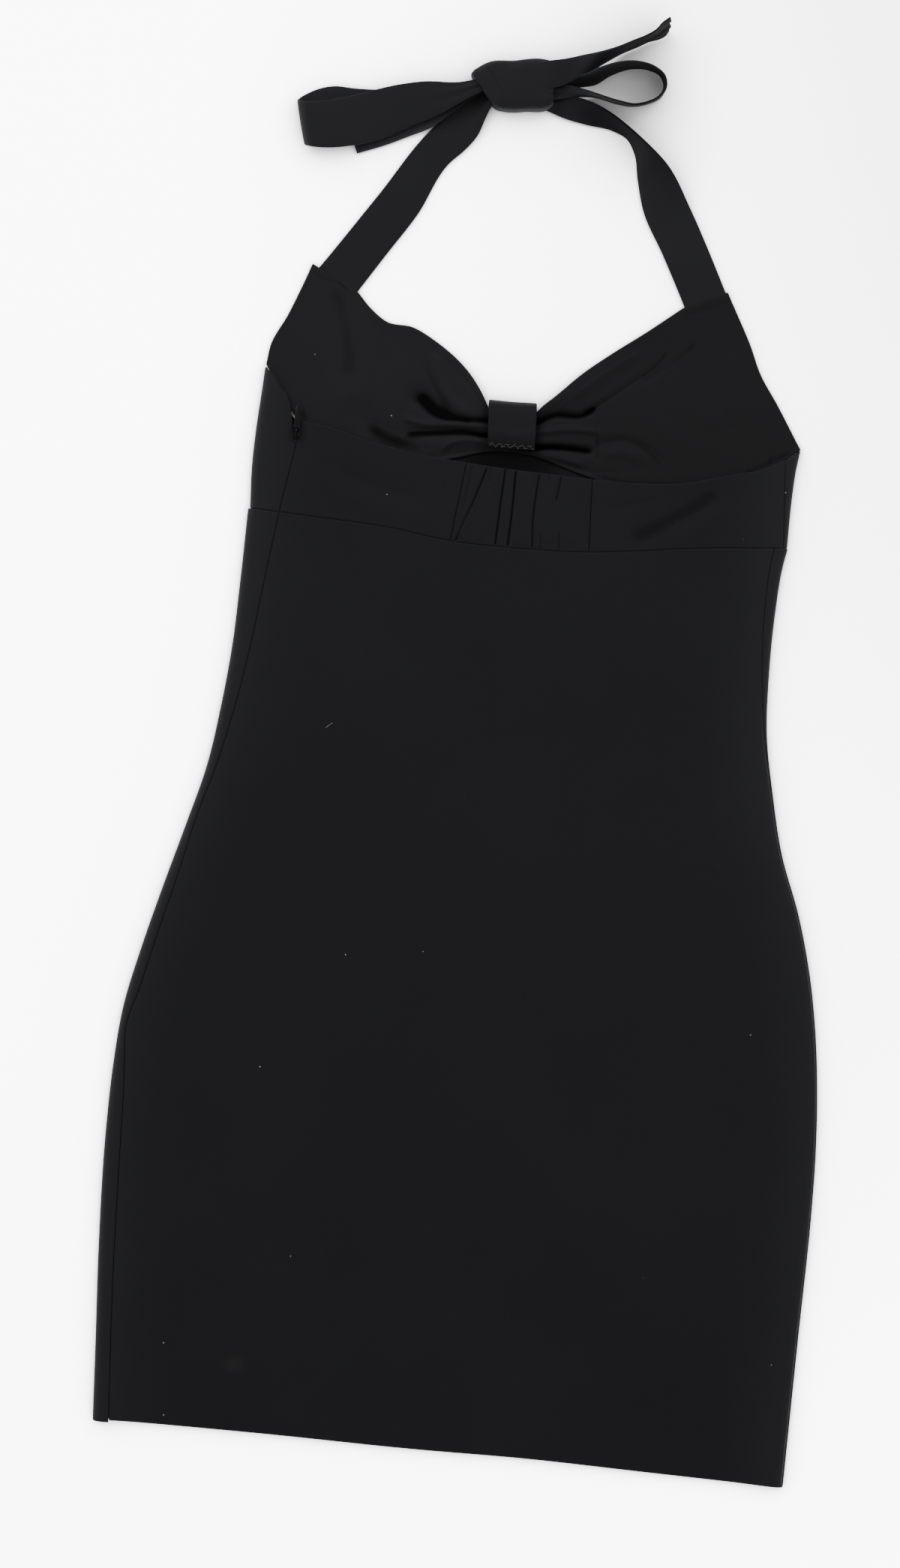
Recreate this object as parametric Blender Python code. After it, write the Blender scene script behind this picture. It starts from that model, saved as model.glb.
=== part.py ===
"""A halter bodycon dress, laid flat with its back up and its ties knotted in a bow.

The dress lies on z = 0 with its neck towards +Y. Lengths below are in millimetres in the
dress's own layout, whose y runs up from the hem, and MM and ORIGIN turn them into metres
about the middle of the footprint.
"""
from math import acos, cos, exp, pi, sin

import bmesh
import bpy
from mathutils import Vector

MM = 0.001
ORIGIN = (-1.5, 466.8)

# Cloth: wall of one panel, gap at a seam, wall of a gathered cup, thickness of a turned tie.
WALL = 1.2
SEAM = 0.3
CUP_WALL = 1.5
TIE = 2.0

# Section of the flattened tube: heights of its sides, shoulders and middle, reach of its rolls.
SIDE_Z = 2.6
RIM_Z = 6.2
MIDDLE_Z = 4.2
ROLL_OVER = 7.0
ROLL_UNDER = 3.5
SETTLE = 18.0

# Outlines and seams, each as (along, across) points on a smooth curve.
SKIRT_LEFT = [(-5, -226.5), (58, -229.2), (117, -231.9), (196, -233.1), (235, -231.8), (275, -228),
              (315, -219), (355, -208.3), (395, -196.9), (435, -186.1), (475, -179.9), (515, -175.7),
              (555, -173.9), (604, -172.4)]
SKIRT_RIGHT = [(-5, 225.5), (94, 228), (173, 230.2), (212, 230), (251, 228), (290, 223.9),
               (329, 217), (368, 206.5), (406, 192.7), (444, 183.8), (483, 176.8), (523, 175.1),
               (562, 175.9), (598, 179.3), (606, 181)]
BAND_LEFT = [(600, -170.9), (633, -172.1), (654, -171.4), (684, -169.3), (698, -168.4)]
BAND_RIGHT = [(600, 180.2), (641, 181.1), (655, 182), (671, 184.2)]
SEAM_LEFT = [(-5, -215.6), (98, -220.6), (172, -222.4), (221, -223.3), (244, -224.4), (262, -224.9),
             (286, -218.3), (320, -210), (365, -198.4), (400, -190.2), (436, -179.4), (481, -169.2),
             (515, -163.5), (555, -158.2), (604, -151.6), (636, -146.4), (652, -143.9), (664, -143.4)]
SEAM_RIGHT_REACH = [(-5, 0.9), (380, 0.9), (430, 1.0), (480, 1.9), (516, 4.5), (552, 6.8), (600, 8.8)]
SEAM_RIGHT_BAND = [(600, 177.8), (663, 174.4)]
HEM = [(-230, 5), (-110, 3.4), (-20, 1.2), (60, 0.6), (130, -1.8), (226, -5)]
EMPIRE = [(-174, 604.3), (-130, 602), (-80, 598.8), (-40, 593.3), (0, 591.8), (52, 593), (85, 596.4),
          (120, 600.7), (182, 605.5)]
FRONT_EMPIRE = [(-172, 604.3), (181, 605.5)]
BAND_TOP = [(-144, 663.8), (-128, 662.2), (-98, 654.5), (-63, 648.3), (-24, 644.4), (35, 641.3),
            (80, 640.3), (104, 641.8), (143, 651.2), (160, 655.5), (175, 663)]
STRIP_TOP = [(-168.6, 697.5), (-161.5, 690.2), (-155.9, 682.2), (-150.6, 675.5), (-147.5, 662),
             (-145.9, 651), (-143, 649)]
UNDERBUST = [(-168.4, 697), (-158, 680.5), (-146, 664), (-130, 651), (-108, 643), (-85, 640.5),
             (-62, 642), (-40, 648), (-20, 654), (-5, 655.4), (10, 654), (30, 648), (52, 641.5),
             (78, 637.6), (105, 637.6), (132, 642), (155, 650.5), (172, 660.5), (184.2, 670)]
UNDERBUST_SEAM = 0.6
RIGHT_STRIP_TOP = (670.0, 662.6)
FRONT_HEM_DROP = 1.5
GATHER_LEFT = [(591, -39.5), (646, -32.5)]
GATHER_RIGHT = [(591, 51.5), (641, 50.0)]
GATHERS = 8
GATHER_DEPTH = 0.7
BAND_LIFT, LIFT_AT, LIFT_WIDTH = 1.5, 112, 34

# Cups, each outlined from its armhole, along the strap's end and the neckline to the centre.
CENTRE_X = -5.2
CENTRE_LOW, CENTRE_HIGH = 658.0, 681.0
CUP_CORNER = 0.16
CUP_STEPS = (25, 12)
FOLD_LIFT = 4.6
FOLD_DEPTH = 2.0
CUP_SWELL = 2.2
PLEAT_CREST, PLEAT_PITCH = 0.415, 0.41
LEFT_ARMHOLE = [(-168.0, 699.0), (-166.1, 711.9), (-156.4, 732.3), (-148.2, 752.6), (-142.9, 766.8)]
LEFT_NECK = [(-111.6, 750.2), (-102.5, 740.5), (-91.5, 732.8), (-74.7, 730.6), (-59.3, 722.8),
             (-35.7, 703.5), (-27.5, 692.4), (-23.6, 685.5), (-21.8, 681.8), (-6, CENTRE_HIGH)]
RIGHT_ARMHOLE = [(184.2, 670.4), (166.7, 698.8), (154.4, 717.5), (146, 736.5), (136.6, 754.6),
                 (128.7, 769.3)]
RIGHT_NECK = [(100.2, 756.6), (77.1, 738.4), (58.5, 724.7), (40, 709.9), (21.7, 691.8), (14.4, 685),
              (11.6, 681.6), (-4, CENTRE_HIGH)]

# Centre tab: the middle line of its loop as (y, z), its sides at the low and the high end.
TAB_LOOP = [(660, 0.6), (681, 0.6), (685.2, 1.9), (686.4, 4.9), (684.6, 8.0), (680, 9.0),
            (670, 9.0), (663.4, 8.7), (660.4, 7.6), (658, 6.2), (656.2, 4.8)]
TAB_BED = 2.1
TAB_LOW, TAB_HIGH = (-19.8, 11.0), (-21.2, 10.2)
TAB_WALL = 1.2
TAB_SPAN = (656.0, 686.0)

# Ties: the two edges of each stretch, as (x, y, z) points.
STRAP_LEFT = ([(-136.4, 767.7, 1.1), (-104, 814.5, 1.1), (-72, 860.9, 1.1), (-56, 876.5, 1.4),
               (-38.3, 889.6, 1.9)],
              [(-112, 751.2, 1.1), (-95, 777, 1.1), (-77.5, 803.4, 1.1), (-58.7, 839.4, 1.1),
               (-49.6, 848.4, 1.1), (-42, 858.2, 1.2), (-37.6, 870, 1.6), (-34.8, 876.6, 1.9)])
STRAP_RIGHT = ([(101.2, 757.6, 1.1), (84.3, 790.6, 1.1), (69.5, 818, 1.1), (64.3, 838, 1.1),
                (61, 855, 0.8), (55.5, 864, 0.9), (45.6, 868.6, 1.2), (28.2, 871, 1.5),
                (13, 874, 2.1), (1.2, 879, 2.6)],
               [(127.2, 769.6, 1.1), (114, 796, 1.1), (100, 821.5, 3.5), (83, 845.8, 14),
                (65.6, 859.4, 21), (53.8, 869, 18), (42.6, 878, 12), (31.5, 884.5, 7.4),
                (18, 888.4, 5.2), (1.7, 890, 3.8)])
TAIL_LEFT = ([(-131, 868, 1.1), (-113, 876, 1.1), (-96, 882.5, 1.7), (-80, 886, 3.8),
              (-62, 888.4, 4.1), (-39.1, 892, 4.3)],
             [(-119.6, 840.8, 1.1), (-101.2, 848.1, 1.1), (-86, 855, 1.7), (-73, 860.5, 3.8),
              (-56, 870.6, 4.1), (-36.1, 881.6, 4.3)])
LOOP_LEFT = ([(-39.9, 894.8, 10.4), (-56, 890.4, 10.9), (-79.5, 889.3, 11.4), (-96, 886.2, 11.6),
              (-116, 880, 11.4), (-132, 874.4, 11.2), (-149, 870.4, 11), (-156.6, 869.8, 10.2),
              (-160.2, 871, 7.6), (-160, 873, 4.2), (-156, 876.6, 1.8), (-147.4, 881, 1.7),
              (-138, 883, 3.2), (-124.5, 882.4, 4.1), (-110, 882.8, 4.2), (-92, 886, 4.9),
              (-76, 888, 6.9), (-60, 888.8, 7.1), (-39.2, 892.4, 7.2)],
             [(-37.7, 887, 10.4), (-56, 876.4, 10.9), (-70.5, 867.2, 11.4), (-84, 860.8, 11.6),
              (-103.4, 850.6, 11.4), (-123.6, 843.8, 11.2), (-143, 840.8, 11), (-150, 841.1, 10.2),
              (-153.2, 842.2, 7.6), (-153, 843.8, 4.2), (-149.4, 847, 1.8), (-142, 850.4, 1.9),
              (-132, 852.4, 3.4), (-119, 852.4, 4.1), (-104, 853, 4.2), (-87, 858.5, 4.9),
              (-73, 865.5, 6.9), (-56, 876, 7.1), (-36.9, 884, 7.2)])
LOOP_RIGHT = ([(1.9, 897.6, 7.2), (14, 897, 8.2), (23, 897.6, 12), (33, 900.6, 22), (45, 906, 27.4),
               (57.7, 907.6, 28.6), (68.4, 905.3, 28.6), (75.2, 900, 28.4), (76.6, 893.4, 28.2),
               (73, 887, 28.2), (65.5, 882.6, 28.6), (58, 881, 28.6), (46, 882.6, 27.4),
               (34, 886.4, 21.4), (23, 890.6, 11.4), (14, 893.2, 7.8), (1.8, 893.6, 6.9)],
              [(1.9, 899.6, 2.6), (14, 898.6, 1.8), (23, 898, 0.8), (31.5, 898, 0.2), (41, 904.6, 0.2),
               (54, 910.2, 0.2), (66, 910.4, 0.2), (74, 907, 0.2), (77.4, 901, 0.2),
               (75.8, 893.7, 0.2), (66.5, 888.6, 0.2), (57.6, 886.6, 0.2), (46.4, 887.2, 0.2),
               (34, 890.6, 0.2), (23, 893.6, 0.8), (14, 894.4, 1.8), (1.8, 892.6, 2.6)])
TAIL_RIGHT = ([(2.1, 907.4, 9.6), (10, 909.2, 12), (22, 912.4, 17), (34, 915, 22.4), (45, 918, 26.4),
               (55, 922.6, 28), (66, 930.4, 28.2), (75.4, 938, 28)],
              [(1.8, 894.6, 10.4), (12, 898.6, 9.6), (25, 906.4, 5.2), (36, 913.6, 2), (47.5, 919.6, 0.3),
               (60, 926.6, 0.2), (70, 931.2, 0.2), (76.4, 936, 0.2)])
KNOT_ENDS = ((-41.4, 902.6), (-33.4, 873.8)), ((1.6, 908.6), (0.6, 877.8))
KNOT_HEIGHT = 13.6

# Zip: tape under the left seam, slider on it and the pull hinged on the slider's bridge.
TAPE_SPAN = (330.0, 661.0)
TAPE_REACH = (-4.5, 7.0)
TAPE_WALL = 0.8
SLIDER_AT = (-144.4, 655.6)
SLIDER_SIZE = (4.6, 8.0, 1.8)
SLIDER_Z = 5.1
BRIDGE_RISE = 1.7
BRIDGE_RADIUS = 2.1
BRIDGE_WIRE = 0.45
PULL_SLOPE = 0.18
PULL_WALL = 0.9
PULL_EYE, PULL_TIP = 1.6, 2.3
PULL_REACH = 19.0

CREPE = (0.011, 0.011, 0.0125, 1.0)
TAPE_BLACK = (0.007, 0.007, 0.008, 1.0)
BLACK_METAL = (0.035, 0.035, 0.037, 1.0)


def mix(a, b, t):
    """The value a share t of the way from a to b."""
    return a + (b - a) * t


def ease(t):
    """A soft step from 0 to 1."""
    t = min(max(t, 0.0), 1.0)
    return t * t * (3 - 2 * t)


def smooth(points):
    """A smooth curve through (t, value) points, as a function of t."""
    ts = [p[0] for p in points]
    vs = [p[1] for p in points]
    steps = [(vs[i + 1] - vs[i]) / (ts[i + 1] - ts[i]) for i in range(len(ts) - 1)]
    slopes = [steps[0]]
    for i in range(1, len(steps)):
        before, after = ts[i] - ts[i - 1], ts[i + 1] - ts[i]
        slopes.append((steps[i - 1] * after + steps[i] * before) / (before + after))
    slopes.append(steps[-1])

    def value(t):
        t = min(max(t, ts[0]), ts[-1])
        i = max(k for k in range(len(steps)) if ts[k] <= t)
        width = ts[i + 1] - ts[i]
        w = (t - ts[i]) / width
        rise = slopes[i] * w * (1 - w) ** 2 - slopes[i + 1] * w * w * (1 - w)
        return mix(vs[i], vs[i + 1], ease(w)) + rise * width
    return value


def rail(points):
    """A smooth curve through points in the plane or in space, as a function from 0 to 1."""
    points = [Vector(p) for p in points]
    run = [0.0]
    for a, b in zip(points, points[1:]):
        run.append(run[-1] + (b - a).length)
    axes = [smooth([(r / run[-1], p[k]) for r, p in zip(run, points)]) for k in range(len(points[0]))]
    return lambda t: Vector([axis(t) for axis in axes])


def material(name, colour, roughness, metallic=0.0):
    """One Principled material, shared by the pieces that are made of it."""
    made = bpy.data.materials.get(name)
    if made is None:
        made = bpy.data.materials.new(name)
        made.use_nodes = True
        shader = made.node_tree.nodes["Principled BSDF"]
        shader.inputs["Base Color"].default_value = colour
        shader.inputs["Roughness"].default_value = roughness
        shader.inputs["Metallic"].default_value = metallic
    return made


def crepe():
    """The dress's black stretch crepe."""
    return material("black_crepe", CREPE, 0.85)


def place(point):
    """A point of the layout in metres, about the middle of the footprint."""
    return Vector(((point[0] - ORIGIN[0]) * MM, (point[1] - ORIGIN[1]) * MM, point[2] * MM))


def finish(name, bm, finish_material):
    """The object of a bmesh that is one closed body."""
    bmesh.ops.recalc_face_normals(bm, faces=bm.faces)
    mesh = bpy.data.meshes.new(name)
    bm.to_mesh(mesh)
    bm.free()
    mesh.materials.append(finish_material)
    mesh.shade_smooth()
    mesh.set_sharp_from_angle(angle=0.7)
    item = bpy.data.objects.new(name, mesh)
    bpy.context.collection.objects.link(item)
    return item


def sheet(name, outside, inside, columns, rows, finish_material=None):
    """A wall between two surfaces, each a function of a column and a row value."""
    bm = bmesh.new()
    tag = bm.verts.layers.int.new("tag")
    bmesh.ops.create_grid(bm, x_segments=len(columns) - 1, y_segments=len(rows) - 1, size=1)
    spots = {}
    for vert in bm.verts:
        i = round((vert.co.x + 1) / 2 * (len(columns) - 1))
        j = round((vert.co.y + 1) / 2 * (len(rows) - 1))
        vert[tag] = len(spots)
        spots[vert[tag]] = (columns[i], rows[j])
    for vert in bm.verts:
        vert.co = place(outside(*spots[vert[tag]]))
    lifted = bmesh.ops.extrude_face_region(bm, geom=bm.faces[:])["geom"]
    for vert in [item for item in lifted if isinstance(item, bmesh.types.BMVert)]:
        vert.co = place(inside(*spots[vert[tag]]))
    return finish(name, bm, finish_material or crepe())


def tube(name, rings, finish_material=None):
    """A solid through closed rings of equally many points."""
    around = len(rings[0])
    bm = bmesh.new()
    bmesh.ops.create_grid(bm, x_segments=around, y_segments=len(rings) - 1, size=1)
    for vert in bm.verts:
        i = round((vert.co.x + 1) / 2 * around)
        j = round((vert.co.y + 1) / 2 * (len(rings) - 1))
        vert.co = place(rings[j][i % around])
    bmesh.ops.remove_doubles(bm, verts=bm.verts, dist=1e-6)
    bmesh.ops.holes_fill(bm, edges=bm.edges, sides=0)
    return finish(name, bm, finish_material or crepe())


def roll(s, over):
    """Height and inward normal of the tube's section, s in from its side, over or under."""
    reach, rise = (ROLL_OVER, RIM_Z - SIDE_Z) if over else (ROLL_UNDER, -SIDE_Z)
    turn = acos(1 - min(s / reach, 1.0))
    z = SIDE_Z + rise * sin(turn)
    if over:
        z -= (RIM_Z - MIDDLE_Z) * (1 - exp(-(max(s - reach, 0.0) / SETTLE) ** 2))
    facing = Vector((abs(rise) * cos(turn), (-reach if over else reach) * sin(turn))).normalized()
    return z, facing


def skin(x, y, sides, over, depth=0.0):
    """The point of the flattened tube at x, a depth under its outer face."""
    left, right = sides[0](y), sides[1](y)
    side, inward = (left, 1) if x < (left + right) / 2 else (right, -1)
    s = max((x - side) * inward, 0.0)
    z, facing = roll(s, over)
    return Vector((side + inward * (s + facing.x * depth), y, z + facing.y * depth))


SKIRT_SIDES = (smooth(SKIRT_LEFT), smooth(SKIRT_RIGHT))
BAND_SIDES = (smooth(BAND_LEFT), smooth(BAND_RIGHT))
HEM_LINE, EMPIRE_LINE = smooth(HEM), smooth(EMPIRE)
LEFT_SEAM, UNDERBUST_LINE, STRIP_LINE = smooth(SEAM_LEFT), smooth(UNDERBUST), smooth(STRIP_TOP)
BAND_TOP_LINE, FRONT_EMPIRE_LINE = smooth(BAND_TOP), smooth(FRONT_EMPIRE)


def right_seam(y, sides):
    """The x of the right side seam on the upper layer."""
    if sides is BAND_SIDES:
        return smooth(SEAM_RIGHT_BAND)(y)
    return sides[1](y) - smooth(SEAM_RIGHT_REACH)(y)


def wrap_columns(middle):
    """Columns of a front: up both strips, round both sides and across the lower layer."""
    strip = [(k / 6, "left") for k in range(6, 0, -1)]
    under = [0, 0.134, 0.5, 1]
    left = [(share, "left_roll") for share in under]
    across = [(k / middle, "under") for k in range(1, middle)]
    right = [(share, "right_roll") for share in reversed(under)]
    back = [(k / 6, "right") for k in range(1, 7)]
    return strip + left + across + right + back


def wrap_point(column, y, sides, depth):
    """A point of a front at height y, on the column of wrap_columns."""
    share, part = column
    left, right = sides[0](y), sides[1](y)
    if part == "left":
        reach = LEFT_SEAM(y) - SEAM / 2 - left
        return skin(left + reach * (1 - cos(share * pi / 2)), y, sides, True, depth)
    if part == "right":
        reach = right - right_seam(y, sides) - SEAM
        return skin(right - reach * (1 - cos(share * pi / 2)), y, sides, True, depth)
    if part == "left_roll":
        return skin(left + share * ROLL_UNDER, y, sides, False, depth)
    if part == "right_roll":
        return skin(right - share * ROLL_UNDER, y, sides, False, depth)
    return skin(mix(left + ROLL_UNDER, right - ROLL_UNDER, share), y, sides, False, depth)


def front(name, low, high, sides, middle, rows):
    """A front piece, wrapped round both sides, between a low and a high edge."""
    def surface(depth):
        def point(column, v):
            y = mix(low(0, column), high(0, column), v)
            for _ in range(3):
                x = wrap_point(column, y, sides, 0).x
                y = mix(low(x, column), high(x, column), v)
            return wrap_point(column, y, sides, depth)
        return point
    return sheet(name, surface(0), surface(WALL), wrap_columns(middle), rows)


def back(name, low, high, ends, sides, columns, rows, shape=None):
    """A back piece on the upper layer, from ends[0] to ends[1] at each height."""
    def surface(depth):
        def point(u, v):
            y = mix(low(0), high(0), v)
            for _ in range(3):
                x = mix(ends[0](y), ends[1](y), u)
                y = mix(low(x), high(x), v)
            spot = skin(x, y, sides, True, depth)
            if shape:
                spot.z += shape(u, v, x)
            return spot
        return point
    return sheet(name, surface(0), surface(WALL), columns, rows)


def front_empire(x, column):
    """The y of the front's empire seam, straight across the lower layer."""
    if column[1] in ("left", "right"):
        return EMPIRE_LINE(x)
    return FRONT_EMPIRE_LINE(x)


def steps(count):
    """Values from 0 to 1 in equal steps."""
    return [k / count for k in range(count + 1)]


def build_skirt():
    """The skirt's front, wrapped round the sides, and its back on top."""
    def front_low(x, column):
        drop = FRONT_HEM_DROP if column[1] == "left" else 0.0
        return HEM_LINE(x) - drop

    front("front_skirt", front_low, front_empire, SKIRT_SIDES, 8, steps(16))
    columns = [0, 0.02] + [k / 16 for k in range(1, 16)] + [0.965, 0.983, 0.993, 0.998, 1]
    back("back_skirt", HEM_LINE, EMPIRE_LINE,
         (lambda y: LEFT_SEAM(y) + SEAM / 2, lambda y: right_seam(y, SKIRT_SIDES) - SEAM),
         SKIRT_SIDES, columns, steps(16))


def build_bands():
    """The band under the bust: the front wrapped round, the back in three."""
    def low(x):
        return EMPIRE_LINE(x) + SEAM

    def front_high(x, column):
        share, part = column
        if part == "left":
            return STRIP_LINE(x)
        if part == "right":
            return mix(RIGHT_STRIP_TOP[0], RIGHT_STRIP_TOP[1], share)
        return UNDERBUST_LINE(x)

    def lift(u, v, x):
        return BAND_LIFT * exp(-((x - LIFT_AT) / LIFT_WIDTH) ** 2) * v * v

    def ruffle(u, v, x):
        pinch = ease(min(u, 1 - u) * GATHERS)
        return GATHER_DEPTH * (cos(2 * pi * GATHERS * u) - 1) / 2 * pinch + lift(u, v, x)

    gather_left, gather_right = smooth(GATHER_LEFT), smooth(GATHER_RIGHT)
    front("front_band", lambda x, column: front_empire(x, column) + SEAM, front_high, BAND_SIDES, 36, steps(3))
    rows = [0, 0.35, 0.7, 1]
    back("back_band_left", low, BAND_TOP_LINE,
         (lambda y: LEFT_SEAM(y) + SEAM / 2, lambda y: gather_left(y) - SEAM / 2),
         BAND_SIDES, steps(8), rows, lift)
    back("back_band_centre", low, BAND_TOP_LINE,
         (lambda y: gather_left(y) + SEAM / 2, lambda y: gather_right(y) - SEAM / 2),
         BAND_SIDES, steps(2 * GATHERS), rows, ruffle)
    back("back_band_right", low, BAND_TOP_LINE,
         (lambda y: gather_right(y) + SEAM / 2, lambda y: right_seam(y, BAND_SIDES) - SEAM),
         BAND_SIDES, steps(10), rows, lift)


def cup_surface(armhole, neck, inward):
    """The patch of a cup: u from the armhole to the centre, v from the band to the neck."""
    side, neckline = rail(armhole), rail(neck)
    corner = side(1.0)
    foot = Vector((CENTRE_X - inward * SEAM / 2, CENTRE_LOW))
    head = Vector((foot.x, CENTRE_HIGH))

    def top(u):
        if u < CUP_CORNER:
            return corner.lerp(neckline(0), u / CUP_CORNER)
        point = neckline((u - CUP_CORNER) / (1 - CUP_CORNER))
        point.x = min(point.x, head.x) if inward > 0 else max(point.x, head.x)
        return point

    def bottom(u):
        x = mix(armhole[0][0], foot.x, u)
        slope = UNDERBUST_LINE(x + 0.5) - UNDERBUST_LINE(x - 0.5)
        gap = UNDERBUST_SEAM * (1 + slope ** 2) ** 0.5
        rise = mix(gap, CENTRE_LOW - UNDERBUST_LINE(CENTRE_X), ease((u - 0.75) / 0.25))
        return Vector((x, UNDERBUST_LINE(x) + rise))

    def patch(u, v):
        edges = mix(bottom(u), top(u), v) + mix(side(v), foot.lerp(head, v), u)
        ends = mix(mix(bottom(0), bottom(1), u), mix(top(0), top(1), u), v)
        return edges - ends
    return patch


def cup_height(u, v):
    """The height of a cup's middle: swelling over the bust, pleated towards the centre."""
    gather = ease((u - 0.5) / 0.42)
    sheltered = ease(v / 0.2)
    bed = mix(CUP_WALL / 2, TAB_BED, ease((u - 0.78) / 0.1))
    swell = CUP_SWELL * sin(pi * min(u / 0.8, 1.0)) ** 2 * sin(pi * v) ** 2
    pleats = FOLD_DEPTH * gather * cos(2 * pi * (v - PLEAT_CREST) / PLEAT_PITCH)
    lift = mix(CUP_WALL / 2, FOLD_LIFT, gather)
    return mix(bed, lift + pleats, sheltered) + swell


def build_cup(name, armhole, neck, inward):
    """One cup, a wall on the lower layer."""
    patch = cup_surface(armhole, neck, inward)

    def surface(offset):
        def point(u, v):
            spot = patch(u, v)
            z = max(cup_height(u, v) + offset, 0.0 if offset < 0 else CUP_WALL)
            return Vector((spot.x, spot.y, z))
        return point
    sheet(name, surface(CUP_WALL / 2), surface(-CUP_WALL / 2), steps(CUP_STEPS[0]), steps(CUP_STEPS[1]))


def build_tab():
    """The centre tab, looped over the neckline and round the gathered cups."""
    line = rail(TAB_LOOP)

    def surface(offset):
        def point(u, v):
            spot = line(v)
            along = (line(min(v + 0.01, 1)) - line(max(v - 0.01, 0))).normalized()
            spot += Vector((along.y, -along.x)) * offset
            high = min(max((spot.x - TAB_SPAN[0]) / (TAB_SPAN[1] - TAB_SPAN[0]), 0), 1)
            sides = [mix(a, b, high) for a, b in zip(TAB_LOW, TAB_HIGH)]
            return Vector((mix(sides[0], sides[1], u), spot.x, max(spot.y, 0.0)))
        return point
    sheet("centre_tab", surface(TAB_WALL / 2), surface(-TAB_WALL / 2), steps(3), steps(16))


def ribbon(name, edges, stations, thickness=TIE):
    """A flattened tie between two edges, thinned and rounded towards them."""
    first, second = rail(edges[0]), rail(edges[1])
    profile = [(0, 0), (0.05, 0.85), (0.5, 1), (0.95, 0.85), (1, 0)]
    profile += [(w, -t) for w, t in reversed(profile[1:-1])]
    rings = []
    for k in range(stations + 1):
        t = k / stations
        a, b = first(t), second(t)
        ahead = (first(min(t + 0.01, 1)) + second(min(t + 0.01, 1))) / 2
        behind = (first(max(t - 0.01, 0)) + second(max(t - 0.01, 0))) / 2
        facing = (b - a).cross(ahead - behind).normalized()
        rings.append([a.lerp(b, w) + facing * (side * thickness / 2) for w, side in profile])
    return tube(name, rings)


def build_ties():
    """The two straps, the bow's loops and tails, and its knot."""
    ribbon("strap_left", STRAP_LEFT, 14)
    ribbon("strap_right", STRAP_RIGHT, 20)
    ribbon("bow_tail_left", TAIL_LEFT, 9)
    ribbon("bow_tail_right", TAIL_RIGHT, 12)
    ribbon("bow_loop_left", LOOP_LEFT, 27)
    ribbon("bow_loop_right", LOOP_RIGHT, 30)
    rings = []
    for u, size in ((0, 0.8), (0.03, 0.9), (0.12, 0.98), (0.5, 1.02), (0.88, 0.98), (0.97, 0.9), (1, 0.8)):
        head = Vector(KNOT_ENDS[0][0]).lerp(Vector(KNOT_ENDS[1][0]), u)
        foot = Vector(KNOT_ENDS[0][1]).lerp(Vector(KNOT_ENDS[1][1]), u)
        ring = []
        for k in range(20):
            turn = 2 * pi * k / 20
            across = abs(cos(turn)) ** 0.62 * (1 if cos(turn) > 0 else -1)
            up = abs(sin(turn)) ** 0.62 * (1 if sin(turn) > 0 else -1)
            flat = foot.lerp(head, 0.5 + across * size / 2)
            ring.append((flat.x, flat.y, KNOT_HEIGHT / 2 * (1 + up * size) if up > 0 else
                         KNOT_HEIGHT / 2 * (1 + up)))
        rings.append(ring)
    tube("bow_knot", rings)


def build_tape():
    """The zip's tape, just under the left seam."""
    low, high = TAPE_SPAN

    def surface(depth):
        def point(u, v):
            y = mix(low, high, v)
            sides = SKIRT_SIDES if y < EMPIRE_LINE(-150) else BAND_SIDES
            x = LEFT_SEAM(y) + mix(TAPE_REACH[0], TAPE_REACH[1], u)
            return skin(x, y, sides, True, depth)
        return point
    top = WALL + SEAM
    tape = material("zip_tape", TAPE_BLACK, 0.8)
    sheet("zip_tape", surface(top), surface(top + TAPE_WALL), steps(4), steps(16), tape)


def metal():
    """The zip's lacquered metal."""
    return material("black_metal", BLACK_METAL, 0.35, 0.9)


def add_boolean(item, other, operation):
    """Join or cut an object with a helper that isn't built itself."""
    other.hide_render = True
    other.display_type = "WIRE"
    change = item.modifiers.new(operation.lower(), "BOOLEAN")
    change.operation = operation
    change.object = other


def build_slider():
    """The zip's slider: a tapered body and the arched bridge that carries the pull."""
    bm = bmesh.new()
    bmesh.ops.create_cube(bm, size=1)
    for vert in bm.verts:
        narrow = 0.62 if vert.co.y < 0 else 1.0
        vert.co = place((SLIDER_AT[0] + vert.co.x * SLIDER_SIZE[0] * narrow,
                         SLIDER_AT[1] + vert.co.y * SLIDER_SIZE[1],
                         SLIDER_Z + (vert.co.z + 0.5) * SLIDER_SIZE[2]))
    bmesh.ops.bevel(bm, geom=bm.edges[:], offset=0.5 * MM, segments=2, profile=0.5, affect="EDGES",
                    material=-1)
    body = finish("zip_slider", bm, metal())
    rings = []
    for k in range(13):
        turn = mix(-0.9, pi + 0.9, k / 12)
        ring = []
        for j in range(8):
            spin = 2 * pi * j / 8
            radius = BRIDGE_RADIUS + BRIDGE_WIRE * cos(spin)
            ring.append((SLIDER_AT[0] + BRIDGE_WIRE * sin(spin), SLIDER_AT[1] + radius * cos(turn),
                         bridge_z() + radius * sin(turn)))
        rings.append(ring)
    add_boolean(body, tube("bridge", rings, metal()), "UNION")


def bridge_z():
    """Height of the bridge's centre, where the pull turns."""
    return SLIDER_Z + SLIDER_SIZE[2] + BRIDGE_RISE


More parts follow.
